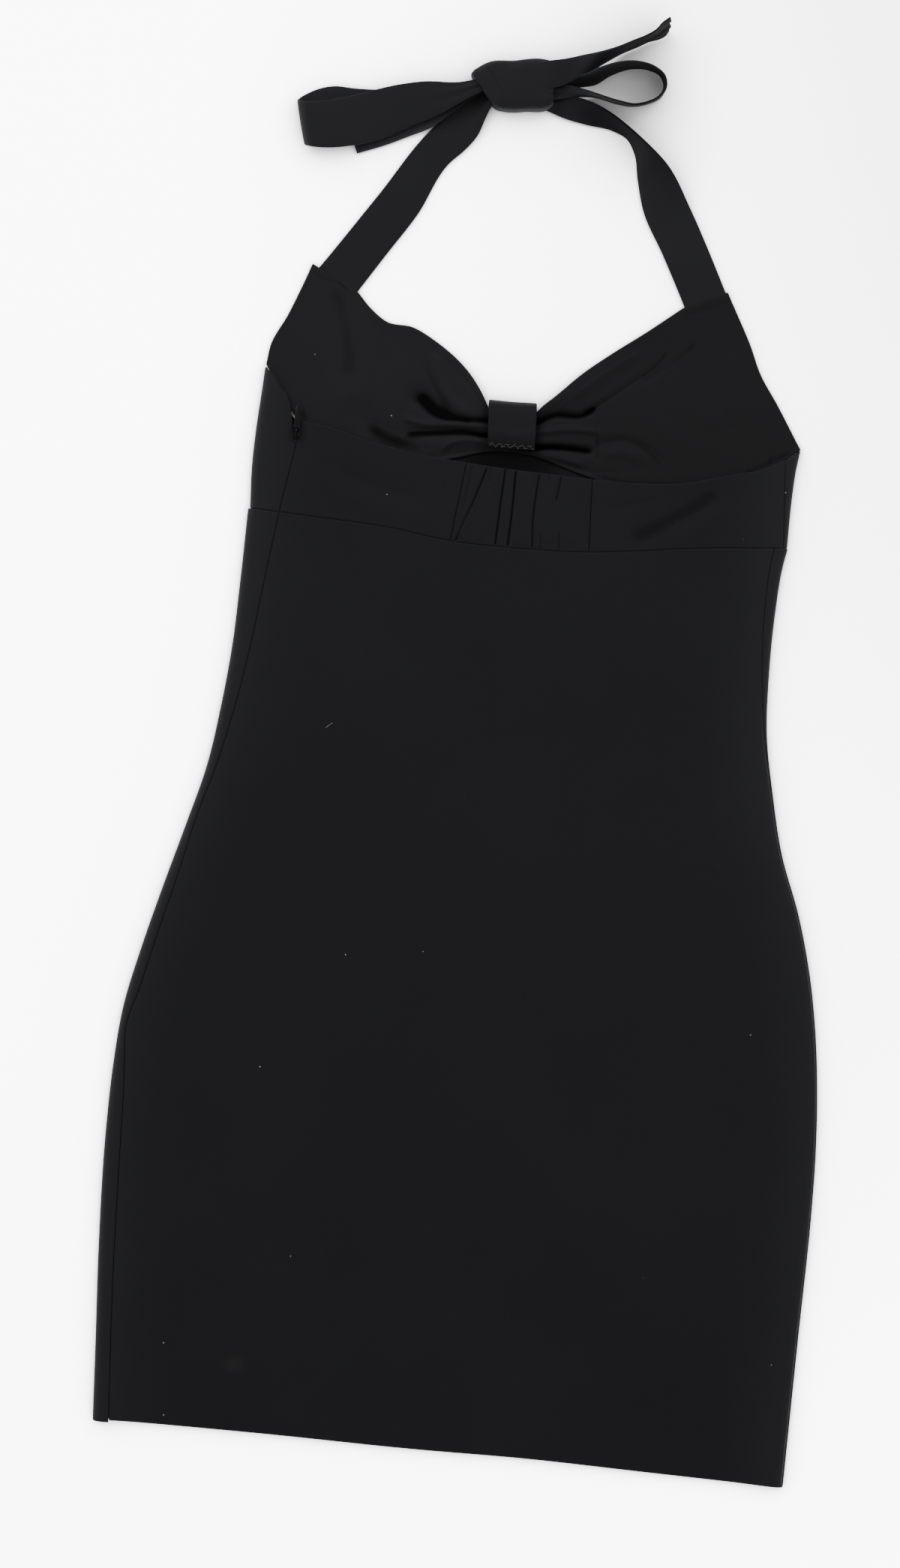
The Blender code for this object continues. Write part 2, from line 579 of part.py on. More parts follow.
def build_pull():
    """The pull: a teardrop plate whose eye goes round the bridge."""
    eye_at, tip_at = BRIDGE_RADIUS, PULL_REACH - PULL_TIP
    lean = acos((PULL_EYE - PULL_TIP) / (tip_at - eye_at))
    outline = []
    for k in range(9):
        turn = mix(-lean, lean, k / 8)
        outline.append((PULL_TIP * sin(turn), tip_at + PULL_TIP * cos(turn)))
    for k in range(9):
        turn = mix(lean, 2 * pi - lean, k / 8)
        outline.append((PULL_EYE * sin(turn), eye_at + PULL_EYE * cos(turn)))

    def plate(name, points, thickness):
        bm = bmesh.new()
        face = bm.faces.new([bm.verts.new((x * MM, y * MM, -thickness / 2 * MM)) for x, y in points])
        top = bmesh.ops.extrude_face_region(bm, geom=[face])["geom"]
        bmesh.ops.translate(bm, vec=(0, 0, thickness * MM),
                            verts=[item for item in top if isinstance(item, bmesh.types.BMVert)])
        item = finish(name, bm, metal())
        item.location = place((SLIDER_AT[0], SLIDER_AT[1], bridge_z()))
        item.rotation_euler.x = -PULL_SLOPE
        return item

    pull = plate("zip_pull", outline, PULL_WALL)
    hole = [(0.85 * cos(2 * pi * k / 16), eye_at + 0.95 * sin(2 * pi * k / 16)) for k in range(16)]
    add_boolean(pull, plate("eye", hole, 3 * PULL_WALL), "DIFFERENCE")


def main():
    """Build every piece in an empty scene."""
    for item in list(bpy.data.objects):
        bpy.data.objects.remove(item, do_unlink=True)
    build_skirt()
    build_bands()
    build_cup("cup_left", LEFT_ARMHOLE, LEFT_NECK, 1)
    build_cup("cup_right", RIGHT_ARMHOLE, RIGHT_NECK, -1)
    build_tab()
    build_ties()
    build_tape()
    build_slider()
    build_pull()


main()
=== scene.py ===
"""Looks of a black halter bodycon dress, laid flat with its back up and its ties in a bow.

Lengths are in millimetres in the dress's own layout, whose y runs up from the hem and whose
x runs to the right. MM and ORIGIN turn them into metres about the middle of the footprint.
"""

from math import atan2, cos, pi, radians, sin

import bmesh
import bpy
import numpy as np
from bpy.props import FloatProperty, FloatVectorProperty, PointerProperty
from mathutils import Matrix, Vector


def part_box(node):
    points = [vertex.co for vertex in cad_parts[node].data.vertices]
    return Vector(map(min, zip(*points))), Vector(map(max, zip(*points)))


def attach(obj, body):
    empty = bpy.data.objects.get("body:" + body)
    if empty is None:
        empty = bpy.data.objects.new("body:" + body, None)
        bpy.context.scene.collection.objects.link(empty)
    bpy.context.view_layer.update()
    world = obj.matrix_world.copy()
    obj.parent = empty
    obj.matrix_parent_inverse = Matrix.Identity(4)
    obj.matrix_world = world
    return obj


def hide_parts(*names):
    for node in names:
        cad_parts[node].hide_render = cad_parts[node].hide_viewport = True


bl_info = {
    "name": "Halter bodycon dress",
    "version": (1, 0, 0),
    "blender": (4, 5, 0),
    "location": "View3D > Sidebar > Dress",
    "description": "Builds the cloth, ties and zip of a laid-out halter dress",
    "category": "Object",
}

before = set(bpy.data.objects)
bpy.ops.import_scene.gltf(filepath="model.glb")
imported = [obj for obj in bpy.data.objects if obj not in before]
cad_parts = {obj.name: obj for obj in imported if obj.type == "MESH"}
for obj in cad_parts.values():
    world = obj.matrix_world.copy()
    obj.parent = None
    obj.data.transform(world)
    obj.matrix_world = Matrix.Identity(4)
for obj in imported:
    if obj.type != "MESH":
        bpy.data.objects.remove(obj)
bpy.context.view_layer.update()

MM = 0.001
HEM_END = -5.0
SLIDER_AT = (-144.4, 655.6)


def find_origin():
    """The layout's point that lies at the frame's origin, from the zip's slider and the hem."""
    low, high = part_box("zip_slider")
    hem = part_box("front_skirt")[0].y
    return SLIDER_AT[0] - (low.x + high.x) / 2 / MM, HEM_END - hem / MM


ORIGIN = find_origin()

# Gap at a seam, and the distance that a panel keeps from the line of a fine one.
SEAM, FINE_SEAM = 0.3, 0.1

# Section of the flattened tube: heights of its sides, shoulders and middle, reach of its rolls.
SIDE_Z, RIM_Z, MIDDLE_Z = 2.6, 6.2, 4.2
ROLL_OVER, ROLL_UNDER = 7.0, 3.5
SETTLE = 18.0

# A sewn edge turns down by EDGE_SINK within EDGE_SOFT, on closely spaced rows.
EDGE_SINK, EDGE_SOFT = 0.42, 0.8
EDGE_SPOTS = (0.0, 0.12, 0.3, 0.55, 0.9, 1.5)

# Outlines and seams, each as (along, across) points on a smooth curve.
SKIRT_LEFT = [(-5, -226.5), (58, -229.2), (117, -231.9), (196, -233.1), (235, -231.8), (275, -228),
              (315, -219), (355, -208.3), (395, -196.9), (435, -186.1), (475, -179.9), (515, -175.7),
              (555, -173.9), (604, -172.4)]
SKIRT_RIGHT = [(-5, 225.5), (94, 228), (173, 230.2), (212, 230), (251, 228), (290, 223.9),
               (329, 217), (368, 206.5), (406, 192.7), (444, 183.8), (483, 176.8), (523, 175.1),
               (562, 175.9), (598, 179.3), (606, 181)]
BAND_LEFT = [(600, -170.9), (633, -172.1), (654, -171.4), (684, -169.3), (698, -168.4)]
BAND_RIGHT = [(600, 180.2), (641, 181.1), (655, 182), (671, 184.2)]
SEAM_LEFT = [(-5, -215.6), (98, -220.6), (172, -222.4), (221, -223.3), (244, -224.4), (262, -224.9),
             (286, -218.3), (320, -210), (365, -198.4), (400, -190.2), (436, -179.4), (481, -169.2),
             (515, -163.5), (555, -158.2), (604, -151.6), (636, -146.4), (652, -143.9), (664, -143.4)]
SEAM_RIGHT_REACH = [(-5, 0.9), (380, 0.9), (430, 1.0), (480, 1.9), (516, 4.5), (552, 6.8), (600, 8.8)]
SEAM_RIGHT_BAND = [(600, 177.8), (663, 174.4)]
HEM = [(-230, 5), (-110, 3.4), (-20, 1.2), (60, 0.6), (130, -1.8), (226, -5)]
EMPIRE = [(-174, 604.3), (-130, 602), (-80, 598.8), (-40, 593.3), (0, 591.8), (52, 593), (85, 596.4),
          (120, 600.7), (182, 605.5)]
FRONT_EMPIRE = [(-172, 604.3), (181, 605.5)]
BAND_TOP = [(-144, 663.8), (-128, 662.2), (-98, 654.5), (-63, 648.3), (-24, 644.4), (35, 641.3),
            (80, 640.3), (104, 641.8), (143, 651.2), (160, 655.5), (175, 663)]
STRIP_TOP = [(-168.6, 697.5), (-161.5, 690.2), (-155.9, 682.2), (-150.6, 675.5), (-147.5, 662),
             (-145.9, 651), (-143, 649)]
UNDERBUST = [(-168.4, 697), (-158, 680.5), (-146, 664), (-130, 651), (-108, 643), (-85, 640.5),
             (-62, 642), (-40, 648), (-20, 654), (-5, 655.4), (10, 654), (30, 648), (52, 641.5),
             (78, 637.6), (105, 637.6), (132, 642), (155, 650.5), (172, 660.5), (184.2, 670)]
UNDERBUST_LAP = 1.2
RIGHT_STRIP_TOP = (670.0, 662.6)
FRONT_HEM_DROP = 1.5
GATHER_LEFT = [(591, -39.5), (646, -32.5)]
GATHER_RIGHT = [(591, 51.5), (641, 50.0)]
# Painted shade on the front band in the dark gap under the centre tab.
ARCH_AT, ARCH_SIZE, ARCH_SHADE = (-5.0, 649.0), (36, 9), 0.7
STRIP_WIDTH, ROLL_COLUMNS = 26, 8
# Painted shade of the tube's panels: a little everywhere, and painted light along the rounded sides.
SIDE_BASE, SIDE_PALER, SIDE_REACH = 0.06, 0.4, 24
GATHER_FADE = 0.9
BAND_LIFT, LIFT_AT, LIFT_WIDTH = 1.5, 112, 34

# Cups, each outlined from its armhole, along the strap's end and the neckline to the centre.
CENTRE_X = -5.2
CENTRE_HIGH = 681.0
CUP_CORNER = 0.16
LEFT_ARMHOLE = [(-168.0, 699.0), (-166.1, 711.9), (-156.4, 732.3), (-148.2, 752.6), (-142.9, 766.8)]
LEFT_NECK = [(-111.6, 750.2), (-102.5, 740.5), (-91.5, 732.8), (-74.7, 730.6), (-59.3, 722.8),
             (-35.7, 703.5), (-27.5, 692.4), (-23.6, 685.5), (-21.8, 681.8), (-6, CENTRE_HIGH)]
RIGHT_ARMHOLE = [(184.2, 670.4), (166.7, 698.8), (154.4, 717.5), (146, 736.5), (136.6, 754.6),
                 (128.7, 769.3)]
RIGHT_NECK = [(100.2, 756.6), (77.1, 738.4), (58.5, 724.7), (40, 709.9), (21.7, 691.8), (14.4, 685),
              (11.6, 681.6), (-4, CENTRE_HIGH)]
CUP_BED, TAB_BED, FOLD_LIFT, CUP_SWELL = 1.5, 2.85, 5.2, 2.2
HEM_DIP, HEM_TURN, COLLAR_RISE, COLLAR_REACH, TAB_SHADE = 0.35, 6.5, 1.1, 9, 0.35

# Centre tab: the middle line of its loop as (y, z), its sides at the low and the high end.
TAB_LOOP = [(660, 0.6), (681, 0.6), (685.2, 1.9), (686.4, 4.9), (684.6, 8.0), (680, 9.0),
            (670, 9.0), (663.4, 8.7), (660.4, 7.6), (658, 6.2), (656.2, 4.8)]
TAB_LOW, TAB_HIGH = (-19.8, 11.0), (-21.2, 10.2)
TAB_SPAN = (656.0, 686.0)
TAB_WALL = 1.2
TAB_LENGTH = 66
STITCHES = 22

# Ties: the two edges of each stretch, as (x, y, z) points, then the knot's upper and lower edge.
STRAP_LEFT = (
    [(-138.6, 764.6, 1.1), (-136.4, 767.7, 1.1), (-104, 814.5, 1.1), (-72, 860.9, 1.1),
     (-56, 876.5, 1.4), (-38.3, 889.6, 3), (-33, 893.5, 3.4)],
    [(-114, 748.2, 1.1), (-112, 751.2, 1.1), (-95, 777, 1.1), (-77.5, 803.4, 1.1),
     (-58.7, 839.4, 1.1), (-49.6, 848.4, 1.5), (-42, 858.2, 3), (-37.6, 870, 5), (-34.8, 876.6, 6),
     (-30, 882, 6.4)])
STRAP_RIGHT = (
    [(102.8, 754.3, 1.1), (101.2, 757.6, 1.1), (84.3, 790.6, 1.1), (69.5, 818, 1.1),
     (64.3, 838, 1.1), (61, 855, 0.8), (55.5, 864, 0.9), (45.6, 868.6, 1.2), (28.2, 871, 1.5),
     (13, 874, 2.1), (1.2, 878, 2.6), (-5, 880, 2.6)],
    [(128.8, 766.4, 1.1), (127.2, 769.6, 1.1), (114, 796, 1.1), (100, 821.5, 3.5), (83, 845.8, 14),
     (65.6, 859.4, 21), (53.8, 869, 18), (42.6, 878, 12), (31.5, 884.5, 7.4), (18, 888.4, 5.2),
     (1.7, 890.6, 3.8), (-5, 891, 3.8)])
TAIL_LEFT = (
    [(-131, 868, 1.1), (-113, 876, 1.1), (-96, 882.5, 1.7), (-80, 886, 3.8), (-62, 888.4, 4.1),
     (-39.1, 893, 4.3), (-34, 894.6, 4.3)],
    [(-119.6, 840.6, 1.6), (-101.2, 847.6, 1.8), (-86, 854.6, 2.2), (-73, 860.6, 3.6),
     (-60, 871, 4.1), (-45, 883.4, 4.3), (-34, 888.6, 4.3)])
LOOP_LEFT = (
    [(-33, 896.6, 10.2), (-39.9, 894.8, 10.4), (-56, 890.4, 10.2), (-79.5, 889.3, 9),
     (-96, 886.2, 7.8), (-116, 880, 7.6), (-132, 874.4, 9), (-149, 870.4, 10.6),
     (-156.6, 869.8, 10.2), (-160.2, 871, 7.6), (-160, 873, 4.2), (-156, 876.6, 1.8),
     (-147.4, 881, 1.7), (-138, 883, 3.2), (-124.5, 882.4, 4.1), (-110, 882.8, 4.2),
     (-92, 886, 4.9), (-76, 888, 6.2), (-60, 888.8, 6.8), (-39.2, 892.4, 7.2), (-34, 893, 7.2)],
    [(-30, 889.6, 10.2), (-37.7, 887, 10.4), (-56, 876.4, 10), (-70.5, 867.2, 8.4), (-84, 860.8, 7),
     (-103.4, 850.8, 6.6), (-123.6, 844, 8), (-143, 840.8, 10.4), (-150, 841.1, 10.2),
     (-153.2, 842.2, 7.6), (-153, 843.8, 4.2), (-149.4, 847, 1.8), (-142, 850.4, 1.9),
     (-132, 852.4, 3.4), (-119, 854.4, 4.1), (-104, 856, 4.2), (-87, 861.5, 4.7), (-73, 868.5, 5.9),
     (-56, 879, 6.8), (-40, 888.4, 7.2), (-31, 890.6, 7.2)])
LOOP_RIGHT = (
    [(-5, 903.5, 8.8), (5, 903, 9), (14, 901, 9.6), (23, 901, 12.5), (33, 903.6, 22),
     (45, 906.8, 27.2), (57.7, 907.8, 28.6), (68.4, 905.3, 28.6), (75.2, 900, 28.4),
     (76.6, 893.4, 28.2), (73, 887, 28.2), (65.5, 882.2, 28.6), (58, 880.2, 28.6), (46, 882, 27.4),
     (34, 886.4, 21.4), (23, 891.4, 13), (14, 894, 10), (5, 895.6, 8.9), (-5, 896.4, 8.6)],
    [(-5, 893.6, 5), (5, 893.4, 4.8), (14, 893.4, 4), (23, 895.6, 1.4), (31.5, 898, 0.2),
     (41, 904.6, 0.2), (54, 910.2, 0.2), (66, 910.4, 0.2), (74, 907, 0.2), (76.8, 901, 0.2),
     (75.2, 893.7, 0.2), (66.3, 888.4, 0.2), (57.6, 886.2, 0.2), (46.4, 887, 0.2), (34, 889.6, 0.6),
     (23, 888.8, 3.4), (14, 886.6, 5.6), (5, 884.4, 6.2), (-5, 883, 6.4)])
TAIL_RIGHT = (
    [(-8, 906.8, 12.2), (2.1, 908.2, 13.6), (10, 909.6, 14.4), (22, 912.4, 16.8), (34, 914.8, 20.4),
     (45, 918, 24), (54, 921.8, 26.6), (61.9, 925.4, 27.6), (67.7, 929.4, 28), (71.6, 934.5, 28),
     (75.8, 938, 28)],
    [(-8, 887, 12.2), (1.8, 889.4, 13.2), (12, 893.6, 12.2), (25, 902.2, 9), (36, 911, 4.4),
     (47.5, 919.4, 1.4), (57, 924.4, 1.1), (64.6, 928.6, 1.1), (71.4, 930.9, 1.1), (75, 933.4, 1.1),
     (76.8, 936.6, 1.1)])
KNOT_HEAD = [(-50, 896.8), (-44.5, 901.4), (-38.5, 904.8), (-21, 907.2), (0, 909.2), (3, 909.6)]
KNOT_FOOT = [(-31.6, 875.6), (-28, 874.9), (-20, 874.8), (-9.8, 876.2), (1.5, 878.6), (5.6, 879.8)]
KNOT_HEIGHT = 13.6
KNOT_SQUARE = 0.42
TIE_AROUND = 56
FLAT_SHADE = -0.16

# Zip: tape under the left seam, slider on it and the pull hinged on the slider's bridge.
TAPE_SPAN = (330.0, 661.0)
TAPE_REACH = (-4.5, 7.0)
TAPE_UNDER = 1.5
ZIP_X = -150.0
SLIDER_SIZE = (4.6, 8.0, 1.8)
SLIDER_Z = 5.1
COIL_LENGTH, COIL_BELOW = 9, 5.2
BRIDGE_RISE, BRIDGE_RADIUS, BRIDGE_WIRE = 1.7, 2.1, 0.45
PULL_SLOPE, PULL_WALL = 0.18, 0.9
PULL_EYE, PULL_TIP, PULL_REACH = 1.6, 2.3, 19.0

# Creases as (points, depth, width), a ridge where the depth is negative.
GATHER_FOLDS = [
    ([(-28.9, 644), (-31.4, 623), (-33, 612)], 0.5, 0.7),
    ([(-18.8, 643), (-26.4, 619.4), (-33, 602), (-36, 593)], 0.9, 0.7),
    ([(-16.7, 645), (-16.1, 632)], 0.5, 0.7),
    ([(-6.9, 644), (-8.5, 617.6), (-9.9, 592)], 0.95, 0.7),
    ([(-0.1, 643), (-0.5, 616.2), (-1.7, 591.9)], 1.0, 0.7),
    ([(15.5, 642), (13.6, 617.3), (14.3, 592)], 0.85, 0.7),
    ([(22.1, 642.1), (22.1, 632)], 0.5, 0.7),
    ([(30, 642), (27.4, 624)], 0.75, 0.7),
    ([(19, 603), (19.8, 591.5)], 0.6, 0.7),
    ([(31, 604), (31.8, 592)], 0.6, 0.7),
    ([(-23, 642), (-29, 618), (-34, 596)], -0.3, 2.4),
    ([(-12, 643), (-16, 618), (-20, 595)], -0.35, 3.2),
    ([(4, 642), (3.4, 616), (3, 593)], -0.3, 2.2),
    ([(9.5, 642), (8.6, 616), (9, 593)], -0.35, 2.4),
    ([(24, 640), (21, 618), (24, 595)], -0.3, 3.2),
    ([(40, 640), (39, 618), (41, 595)], -0.3, 4.5),
]
LEFT_CUP_FOLDS = [
    ([(-8, 672.5), (-24, 672.6), (-40.6, 672.8), (-55.7, 677), (-68, 688)], 2.6, 2.6),
    ([(-30, 671), (-44, 676), (-54, 687), (-63, 701), (-69, 718)], 0.9, 1.9),
    ([(-38, 672), (-56, 679), (-66, 685), (-76, 678)], 2.3, 6.4),
    ([(-30, 674), (-46, 684), (-56, 700), (-60, 720)], -1.5, 4.6),
    ([(-8, 669.6), (-24, 670), (-45.3, 669.2), (-64.9, 668.3), (-78, 671)], -1.6, 2.2),
    ([(-8, 662.8), (-22.1, 663), (-35.1, 664.4), (-54.6, 662.8), (-76, 660.4)], 2.8, 2.6),
    ([(-10, 660.2), (-21.9, 660.2), (-34.7, 659.6), (-44.3, 656.8), (-50.7, 650)], -1.6, 2.3),
    ([(-56, 650), (-72, 654), (-84, 657), (-101, 666)], 1.3, 4.2),
    ([(-112, 684), (-94, 661), (-64, 649)], 0.9, 7.0),
    ([(-137, 762), (-121, 739), (-115.2, 716), (-114, 682)], 1.15, 9.0),
    ([(-118, 752), (-102, 724), (-94, 694)], -0.8, 10.0),
    ([(-154.5, 726), (-155.4, 706.9), (-154.3, 693.2), (-149.6, 670)], 0.6, 1.3),
    ([(-98, 722), (-88, 700), (-82, 680)], 0.5, 6.0),
]
RIGHT_CUP_FOLDS = [
    ([(-4, 673), (9.8, 674.4), (21.7, 680.1), (40.2, 681.8), (51, 689)], 2.4, 2.5),
    ([(40, 682), (55, 693), (71, 706.2), (85, 717.4), (94, 730)], 1.25, 1.6),
    ([(76, 704), (94.5, 719.4), (112, 737)], 0.8, 2.2),
    ([(14, 684), (36, 697), (54, 712), (78, 730)], -1.3, 5.0),
    ([(-4, 667.8), (10.3, 668.2), (34.8, 671.6), (55, 671.4)], -1.7, 2.4),
    ([(48.6, 677), (51.6, 662.6), (52.4, 651)], 1.0, 1.3),
    ([(-4, 659), (11.2, 658.4), (23.4, 659.4), (52, 659)], 2.8, 2.6),
    ([(12, 653.5), (28, 651.8), (46, 649)], -1.4, 2.4),
    ([(48, 663), (68.7, 668), (81.5, 663.8), (98, 650)], 1.1, 3.0),
    ([(54, 656), (70, 659), (84, 654)], -0.9, 3.6),
    ([(50, 644), (75.9, 640.5), (108, 642.5)], 1.1, 3.0),
    ([(160, 710), (162.2, 682.4), (165.4, 658)], 0.6, 1.3),
    ([(144, 650), (166, 662), (182, 671)], 1.1, 3.2),
    ([(120, 756), (112, 716), (114, 676)], 0.6, 11.0),
    ([(132, 744), (140, 704), (148, 672)], -0.5, 10.0),
    ([(84, 692), (122, 676), (158, 676)], 0.5, 7.0),
]
BAND_FOLDS = [
    ([(140, 645), (120, 629), (97, 614), (68, 600)], 0.55, 8.0),
    ([(148, 634), (124, 616), (98, 602)], -0.4, 7.0),
    ([(-132, 644), (-95, 628), (-50, 618)], 0.35, 9.0),
    ([(-116, 620), (-78, 611), (-42, 606)], -0.3, 7.0),
    ([(54, 618), (74, 627), (104, 634)], 0.35, 6.0),
]
SKIRT_FOLDS = [
    ([(-120, 560), (-60, 520), (20, 500), (110, 510)], 0.5, 34.0),
    ([(150, 560), (110, 470), (90, 380)], 0.45, 26.0),
    ([(-150, 470), (-100, 400), (-60, 310)], 0.45, 30.0),
    ([(-170, 250), (-90, 215), (20, 205), (120, 225)], 0.5, 40.0),
    ([(170, 330), (160, 230), (170, 130)], 0.4, 24.0),
    ([(-180, 150), (-160, 90), (-165, 20)], -0.35, 22.0),
    ([(-60, 110), (20, 90), (110, 100)], 0.4, 36.0),
    ([(60, 440), (30, 330), (40, 260)], -0.35, 34.0),
]
UNDER_FOLDS = [
    ([(-120, 540), (-40, 500), (60, 510)], 0.4, 30.0),
    ([(-140, 300), (-40, 260), (90, 280)], 0.4, 34.0),
    ([(-100, 120), (30, 90), (140, 110)], 0.35, 30.0),
]
KNOT_FOLDS = [
    ([(-40, 901), (-34, 893), (-29.5, 885), (-27, 873)], 0.5, 0.9),
    ([(-36, 897), (-30, 901), (-16, 905)], 0.3, 2.4),
    ([(-26, 899), (-20, 890), (-17, 878)], -0.25, 5.0),
    ([(-12, 890), (-4, 887), (8, 886)], 0.5, 1.2),
]
LINT = [(-136.8, 707.8), (-83.8, 671.7), (-82.7, 620.2), (176.1, 641.5), (-86.1, 319.1), (-35.9, 325.0),
        (-136, 241.9), (181.3, 287.6), (-106.3, 120.4), (-184.4, 57.7), (211.4, 74.6), (-180.7, 10.8)]
FIBRE_AT = (-108.5, 467.2)
SMUDGE_AT, SMUDGE_WIDTH, SMUDGE_TONE = (-137.4, 47.2), 5.5, 0.12

# Grids, each as (length, pitch) of graded shares. A front has columns across and on a strip.
SKIRT_ROWS, SKIRT_COLUMNS, SKIRT_FRONT = (600, 4.0), (430, 3.8), (56, 12)
BAND_ROWS, BAND_FRONT_ROWS, BAND_FRONT, BAND_PART = (50, 1.0), (60, 1.6), (90, 12), 100
CUP_COLUMNS, CUP_ROWS, TAB_COLUMNS = (170, 0.9), (80, 0.8), (31, 1.0)


# Sizes and colours that a user would change.

class ClothSettings(bpy.types.PropertyGroup):
    """The dress's cloth."""
    wall: FloatProperty(name="Wall", description="Thickness of one panel", default=1.2 * MM,
                        min=0.5 * MM, max=3 * MM, unit="LENGTH")
    cup_wall: FloatProperty(name="Cup wall", description="Thickness of a gathered cup",
                            default=1.5 * MM, min=0.5 * MM, max=3 * MM, unit="LENGTH")
    tie: FloatProperty(name="Tie", description="Thickness of a turned tie", default=2.0 * MM,
                       min=1 * MM, max=4 * MM, unit="LENGTH")
    colour: FloatVectorProperty(name="Colour", description="Colour of the crepe", size=3,
                                subtype="COLOR", default=(0.0116, 0.0116, 0.0129), min=0, max=1)
    inner_colour: FloatVectorProperty(name="Inner colour", description="Colour of the cups' inside",
                                      size=3, subtype="COLOR", default=(0.0118, 0.0117, 0.0128),
                                      min=0, max=1)
    grain: FloatProperty(name="Grain", description="Pitch of the crepe's grain", default=0.55 * MM,
                         min=0.2 * MM, max=3 * MM, unit="LENGTH")
    sheen: FloatProperty(name="Sheen", description="Pale glow of the cloth seen edge-on",
                         default=0.004, min=0, max=1, subtype="FACTOR")
    folds: FloatProperty(name="Folds", description="Depth of all creases, as a share",
                         default=1.0, min=0, max=2, subtype="FACTOR")


class ZipSettings(bpy.types.PropertyGroup):
    """The zip in the side seam."""
    metal: FloatVectorProperty(name="Metal", description="Colour of the lacquered metal", size=3,
                               subtype="COLOR", default=(0.006, 0.006, 0.0065), min=0, max=1)
    tape: FloatVectorProperty(name="Tape", description="Colour of the woven tape", size=3,
                              subtype="COLOR", default=(0.008, 0.008, 0.009), min=0, max=1)
    tooth: FloatProperty(name="Tooth pitch", description="Distance between two coil teeth",
                         default=1.3 * MM, min=0.6 * MM, max=3 * MM, unit="LENGTH")


class StudioSettings(bpy.types.PropertyGroup):
    """Floor, light and camera."""
    height: FloatProperty(name="Camera height", description="Camera above the surface",
                          default=1.8, min=0.5, max=6, unit="LENGTH")
    turn: FloatProperty(name="Camera turn", description="Turn of the camera about the vertical",
                        default=radians(4.5), unit="ROTATION")
    view: FloatProperty(name="View", description="Length of the surface that the camera sees",
                        default=1.0241, min=0.2, max=4, unit="LENGTH")
    floor: FloatVectorProperty(name="Floor", description="Colour of the floor", size=3,
                               subtype="COLOR", default=(0.86, 0.86, 0.865), min=0, max=1)
    # glow: painted light given off by the floor itself.
    glow: FloatProperty(name="Glow", description="Brightness of the pale floor itself", default=7.2,
                        min=0, max=20)
    # shadow: reach of the painted shadow, where the floor's glow is dimmed near the dress.
    shadow: FloatProperty(name="Shadow", description="Reach of the soft shadow on the floor",
                          default=0.06, min=0.01, max=0.5, unit="LENGTH")
    light: FloatProperty(name="Light", description="Strength of the soft overhead light",
                         default=46, min=0, max=500, unit="POWER")


# Curves and sections.

def mix(a, b, t):
    """The value a share t of the way from a to b."""
    return a + (b - a) * t


def ease(t):
    """A soft step from 0 to 1."""
    t = np.clip(t, 0.0, 1.0)
    return t * t * (3 - 2 * t)


def smooth(points):
    """A smooth curve through (t, value) points, as a function of a number or an array."""
    ts, vs = np.array(points, float).T
    spans = np.diff(ts)
    steps = np.diff(vs) / spans
    inner = (steps[:-1] * spans[1:] + steps[1:] * spans[:-1]) / (spans[:-1] + spans[1:])
    slopes = np.concatenate((steps[:1], inner, steps[-1:]))

    def value(t):
        t = np.clip(t, ts[0], ts[-1])
        i = np.clip(np.searchsorted(ts, t, side="right") - 1, 0, len(steps) - 1)
        w = (t - ts[i]) / spans[i]
        rise = slopes[i] * w * (1 - w) ** 2 - slopes[i + 1] * w * w * (1 - w)
        return mix(vs[i], vs[i + 1], ease(w)) + rise * spans[i]
    return value


def rail(points):
    """A smooth curve through points in the plane or in space, as a function from 0 to 1."""
    points = np.array(points, float)
    run = np.concatenate(([0.0], np.cumsum(np.linalg.norm(np.diff(points, axis=0), axis=1))))
    axes = [smooth(list(zip(run / run[-1], points[:, k]))) for k in range(points.shape[1])]
    return lambda t: np.stack([axis(t) for axis in axes], axis=-1)


def graded(length, pitch):
    """Shares from 0 to 1 along a length, closely spaced at both ends."""
    near = np.array(EDGE_SPOTS) / length
    inner = np.linspace(near[-1], 1 - near[-1], max(int(length / pitch), 2) + 1)
    return np.concatenate((near[:-1], inner, 1 - near[-2::-1]))


def sink(distance):
    """How far a sewn edge turns down, at a distance in from it."""
    return EDGE_SINK * (1 - ease(distance / EDGE_SOFT))


def crease(x, y, points, depth, width, fade):
    """The height of a soft trough along a line, or of a ridge where the depth is negative."""
    reach = fade * (1 + width)
    line = rail(points)(np.linspace(0, 1, 24))
    nearest = np.full(np.shape(x), 1e9)
    run, length = np.zeros(np.shape(x)), 0.0
    for a, b in zip(line, line[1:]):
        along = b - a
        step = float(np.hypot(*along))
        t = np.clip(((x - a[0]) * along[0] + (y - a[1]) * along[1]) / step ** 2, 0, 1)
        gap = np.hypot(x - a[0] - t * along[0], y - a[1] - t * along[1])
        run = np.where(gap < nearest, length + t * step, run)
        nearest = np.minimum(gap, nearest)
        length += step
    ends = ease(run / reach) * ease((length - run) / reach)
    return -depth * np.exp(-(nearest / width) ** 2) * ends


def relief(folds, x, y, fade=2.0):
    """The height that a list of creases adds, each fading at its ends over fade * (1 + width)."""
    share = bpy.context.scene.dress_cloth.folds
    return share * sum(crease(x, y, *fold, fade) for fold in folds)


def roll(s, over):
    """Height and inward normal of the tube's section, s in from its side, over or under."""
    reach, rise = (ROLL_OVER, RIM_Z - SIDE_Z) if over else (ROLL_UNDER, -SIDE_Z)
    turn = np.arccos(1 - np.minimum(s / reach, 1.0))
    z = SIDE_Z + rise * np.sin(turn)
    if over:
        z = z - (RIM_Z - MIDDLE_Z) * (1 - np.exp(-(np.maximum(s - reach, 0.0) / SETTLE) ** 2))
    across, up = abs(rise) * np.cos(turn), (-reach if over else reach) * np.sin(turn)
    length = np.hypot(across, up)
    return z, across / length, up / length


